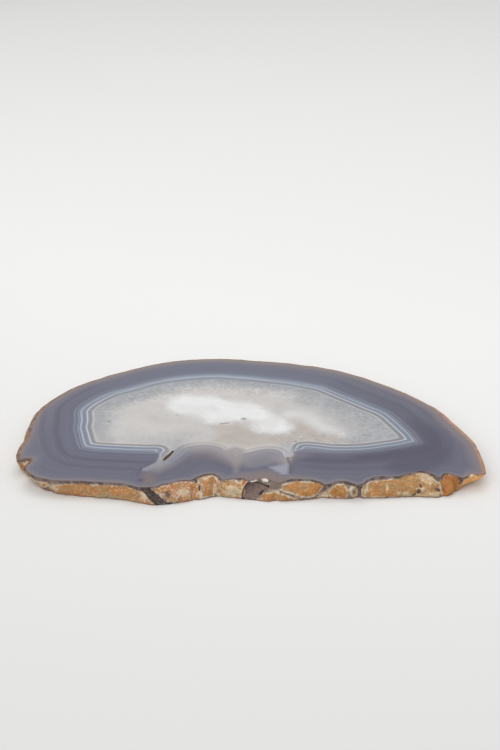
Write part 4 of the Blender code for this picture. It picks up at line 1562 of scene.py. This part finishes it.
def rind_material(colours, effects):
    """The rough rind: orange lumps with cream borders in a dark skin, holes darkened with painted shade, and
    grains.
    """
    board = Paint("Rough rind", effects=effects)
    board.tones = tones_of(colours, upright)
    mineral = board.group(effects["mineral"], **RIND_GRAIN)
    level = board.make("ShaderNodeSeparateXYZ", {0: board.place}, "Z")
    ragged = board.swing(*RIND_RAGGED)
    colour = rind_lumps(board, ragged, mineral["Cloud"])
    colour = rind_grains(board, colour)
    colour = board.cover(colour, "stain", board.number("stain") + ragged, -0.1, 0.6, 0.7)
    # The crease between the lobes gets painted shade
    colour = board.cover(colour, "valley", board.number("valley"), 0.0, 1.0, 0.55)
    colour = board.cover(colour, "foot", level + ragged, *FOOT_HEIGHTS, 0.8)
    width = board.number("skin_mm") + board.fade(board.number("body"), -0.9, -0.2, 0.5, 0.0)
    skin = board.fade(board.number("below_rim") - (width + board.swing(*SKIN_WAVER)), 0.4, -0.25)
    colour = board.mix(skin, colour, board.cover("dark_skin", "between", mineral["Cloud"], 0.4, 0.62))
    colour = board.cover(colour, "smoke", board.number("slope") + ragged, -0.5, 0.6)
    # Holes and crevices get painted shade over the rind's colour
    colour = rind_holes(board, colour, board.number("hole") + ragged)
    colour = board.cover(colour, "chip", board.number("chip") + ragged, 0.0, 0.3)
    relief = mineral["Grain"] + mineral["Cloud"] * 0.6
    return board.coat({
        "Base Color": colour, "Roughness": board.fade(mineral["Grain"], 0.3, 0.7, *RIND_ROUGHNESS),
        "Normal": board.bump(relief, *RIND_BUMP), "Specular IOR Level": RIND_SPECULAR})


def rind_lumps(board, ragged, cloud):
    """Orange lumps with pale borders, and the greyish rind between them."""
    heat = board.number("lump_heat")
    patches = board.swing(1.3, roughness=0.6)
    hot = heat + patches * 2.2 + board.swing(*HOT_CLOUDS, shift=HEAT_SHIFT)
    core = board.cover("ochre", "orange", hot, *WARM_HEAT)
    core = board.cover(core, "ember", hot, *EMBER_HEAT)
    speckle = board.noise(0.8, 3.0, 0.6, SPECKLE_SHIFT)
    calm = board.fade(heat, 0.2, 1.1, 1.0, 0.35)
    core = board.mix(calm * board.fade(speckle, 0.54, 0.66, 0.0, 0.5), core, "cream")
    core = board.mix(calm * board.fade(speckle, 0.44, 0.34, 0.0, 0.5), core, "stain")
    gaps = board.cover("between", "cream", speckle, 0.5, 0.64, 0.8)
    border = board.cover("cream", "pale_border", cloud, 0.4, 0.6)
    border = board.cover(border, "orange", patches, 0.02, 0.16, 0.7)
    colour = board.cover(gaps, border, board.number("body") + ragged, -0.2, 0.1)
    heart = board.number("core") + ragged + board.swing(*HEART_WAVER)
    colour = board.cover(colour, core, heart, -0.15, 0.1)
    pale = board.number("cream") + patches * 3.0
    colour = board.cover(colour, "cream", pale, 0.0, 0.6, 0.85)
    colour = board.cover(colour, "pale_border", pale, 0.6, 1.1, 0.6)
    # Painted light: the tip's rind is painted brighter, where its downward slope lies in shade
    colour = board.cover(colour, "tip", board.number("tip") + patches, 0.0, 0.4, 0.85)
    fine = board.swing(*RIND_FINE_SHADE, detail=2.0, roughness=0.6)
    blots = board.swing(*RIND_BLOTS, detail=2.0, roughness=0.6, shift=BLOT_SHIFT)
    return board.scaled(colour, fine + blots + 1)


def rind_grains(board, colour):
    """Red and white grains strewn over the rind."""
    for tone, size, shift, low, high, most in GRAIN_LOOKS:
        shown = board.fade(board.noise(size, shift=shift), low, high, 0.0, most)
        colour = board.mix(shown * board.number("grains"), colour, tone)
    return colour


def rind_holes(board, colour, hollow):
    """Holes and crevices painted dark as painted shade, painted shadow where deepest, with ridges and rubble.
    """
    ridges = (board.noise_along(hollow, RIDGE_STEP) - 0.5) * RIDGE_CONTRAST
    dark = board.number("darkness") + (ridges + board.swing(*HOLE_RUBBLE, roughness=0.6))
    pit = board.cover("ridge", "hole", dark, 0.1, 0.8)
    pit = board.cover(pit, "hole_shadow", dark, 0.8, 1.3)
    return board.cover(colour, pit, hollow, -0.05, 0.3)


def floor_material(grey):
    """The pale floor, very slightly uneven in tone, under a painted pool of light that fades out."""
    board = Paint("Pale floor", 1.0)
    tone = board.fade(board.noise(FLOOR_PATCH_SIZE), 0.3, 0.7, grey, grey * FLOOR_UNEVEN)
    ends = {0: board.place, 1: FLOOR_LIGHT_POOL}
    away = board.make("ShaderNodeVectorMath", ends, "Value", operation="DISTANCE")
    # Painted light: the floor's tone falls off with distance from one place behind the stone
    tone = tone * board.fade(away, *FLOOR_LIGHT_FALLOFF, 1.0, FLOOR_LIGHT_FALLOFF_TO)
    return board.coat({"Base Color": board.scaled(FLOOR_TINT, tone), "Roughness": FLOOR_ROUGHNESS,
                       "Specular IOR Level": FLOOR_SPECULAR})


def add_object(name, data):
    """Puts an object into the scene."""
    thing = bpy.data.objects.new(name, data)
    bpy.context.scene.collection.objects.link(thing)
    return thing


class AGATE_OT_make_stone(bpy.types.Operator):
    """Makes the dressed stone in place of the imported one"""
    bl_idname = "agate.make_stone"
    bl_label = "Make the stone"
    bl_options = {"REGISTER", "UNDO"}

    def execute(self, context):
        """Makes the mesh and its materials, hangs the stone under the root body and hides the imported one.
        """
        scene = context.scene
        mesh = make_stone(scene.agate_sizes)
        effects = {"line": thin_line_group(), "mineral": mineral_group()}
        mesh.materials.append(polished_material(scene.agate_colours, effects))
        mesh.materials.append(rind_material(scene.agate_rind, effects))
        stone = add_object("agate_stone", mesh)
        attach(stone, "root")
        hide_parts("agate_slice")
        return {"FINISHED"}


class AGATE_OT_make_stage(bpy.types.Operator):
    """Makes the floor, the soft light and the camera"""
    bl_idname = "agate.make_stage"
    bl_label = "Make the stage"
    bl_options = {"REGISTER", "UNDO"}

    def execute(self, context):
        """Makes the stage's objects and sets the scene's camera and world."""
        scene = context.scene
        look = scene.agate_stage
        half = look.floor_width / 2
        mesh = bpy.data.meshes.new("floor")
        corners = ((-half, -half), (half, -half), (half, half), (-half, half))
        mesh.from_pydata([(x, y, -FLOOR_GAP) for x, y in corners], [], [(0, 1, 2, 3)])
        mesh.materials.append(floor_material(look.floor_grey))
        add_object("floor", mesh)
        world = bpy.data.worlds.new("Room")
        world.use_nodes = True
        back = world.node_tree.nodes["Background"]
        back.inputs["Color"].default_value = (1.0, 1.0, 1.0, 1.0)
        back.inputs["Strength"].default_value = look.sky
        scene.world = world
        for name, place, width in LAMPS:
            lamp = bpy.data.lights.new(name, "AREA")
            lamp.shape = "DISK"
            lamp.size = width
            lamp.energy = getattr(look, name)
            holder = add_object(name, lamp)
            holder.location = place
            way = Vector(LAMP_AIM) - holder.location
            holder.rotation_euler = way.to_track_quat("-Z", "Y").to_euler()
        camera = bpy.data.cameras.new("view")
        camera.lens = CAMERA_LENS
        camera.sensor_width = CAMERA_SENSOR
        eye = add_object("view", camera)
        eye.location = CAMERA_PLACE
        eye.rotation_euler = CAMERA_TURN
        scene.camera = eye
        scene.view_settings.view_transform = "Standard"
        return {"FINISHED"}


class AGATE_PT_panel(bpy.types.Panel):
    """Lists the stone's settings and the buttons that make it"""
    bl_idname = "AGATE_PT_panel"
    bl_label = "Agate slice"
    bl_space_type = "VIEW_3D"
    bl_region_type = "UI"
    bl_category = "Agate slice"

    def draw(self, context):
        """Lays out the settings group by group, and the buttons below them."""
        scene = context.scene
        for title, group in (("Mesh", scene.agate_sizes), ("Agate", scene.agate_colours),
                             ("Rind", scene.agate_rind), ("Stage", scene.agate_stage)):
            box = self.layout.box()
            box.label(text=title)
            for name in group.__annotations__:
                box.prop(group, name)
        self.layout.operator(AGATE_OT_make_stone.bl_idname)
        self.layout.operator(AGATE_OT_make_stage.bl_idname)


GROUPS = {
    "agate_sizes": StoneSizes,
    "agate_colours": StoneColours,
    "agate_rind": RindColours,
    "agate_stage": StageLook,
}
CLASSES = (*GROUPS.values(), AGATE_OT_make_stone, AGATE_OT_make_stage, AGATE_PT_panel)


def register():
    """Makes the settings, the operators and the panel known to Blender."""
    for kind in CLASSES:
        bpy.utils.register_class(kind)
    for name, kind in GROUPS.items():
        setattr(bpy.types.Scene, name, PointerProperty(type=kind))


def unregister():
    """Takes them away again."""
    for name in GROUPS:
        delattr(bpy.types.Scene, name)
    for kind in reversed(CLASSES):
        bpy.utils.unregister_class(kind)


def main():
    """Makes the stone and the stage."""
    register()
    bpy.ops.agate.make_stone()
    bpy.ops.agate.make_stage()


if __name__ == "__main__":
    main()
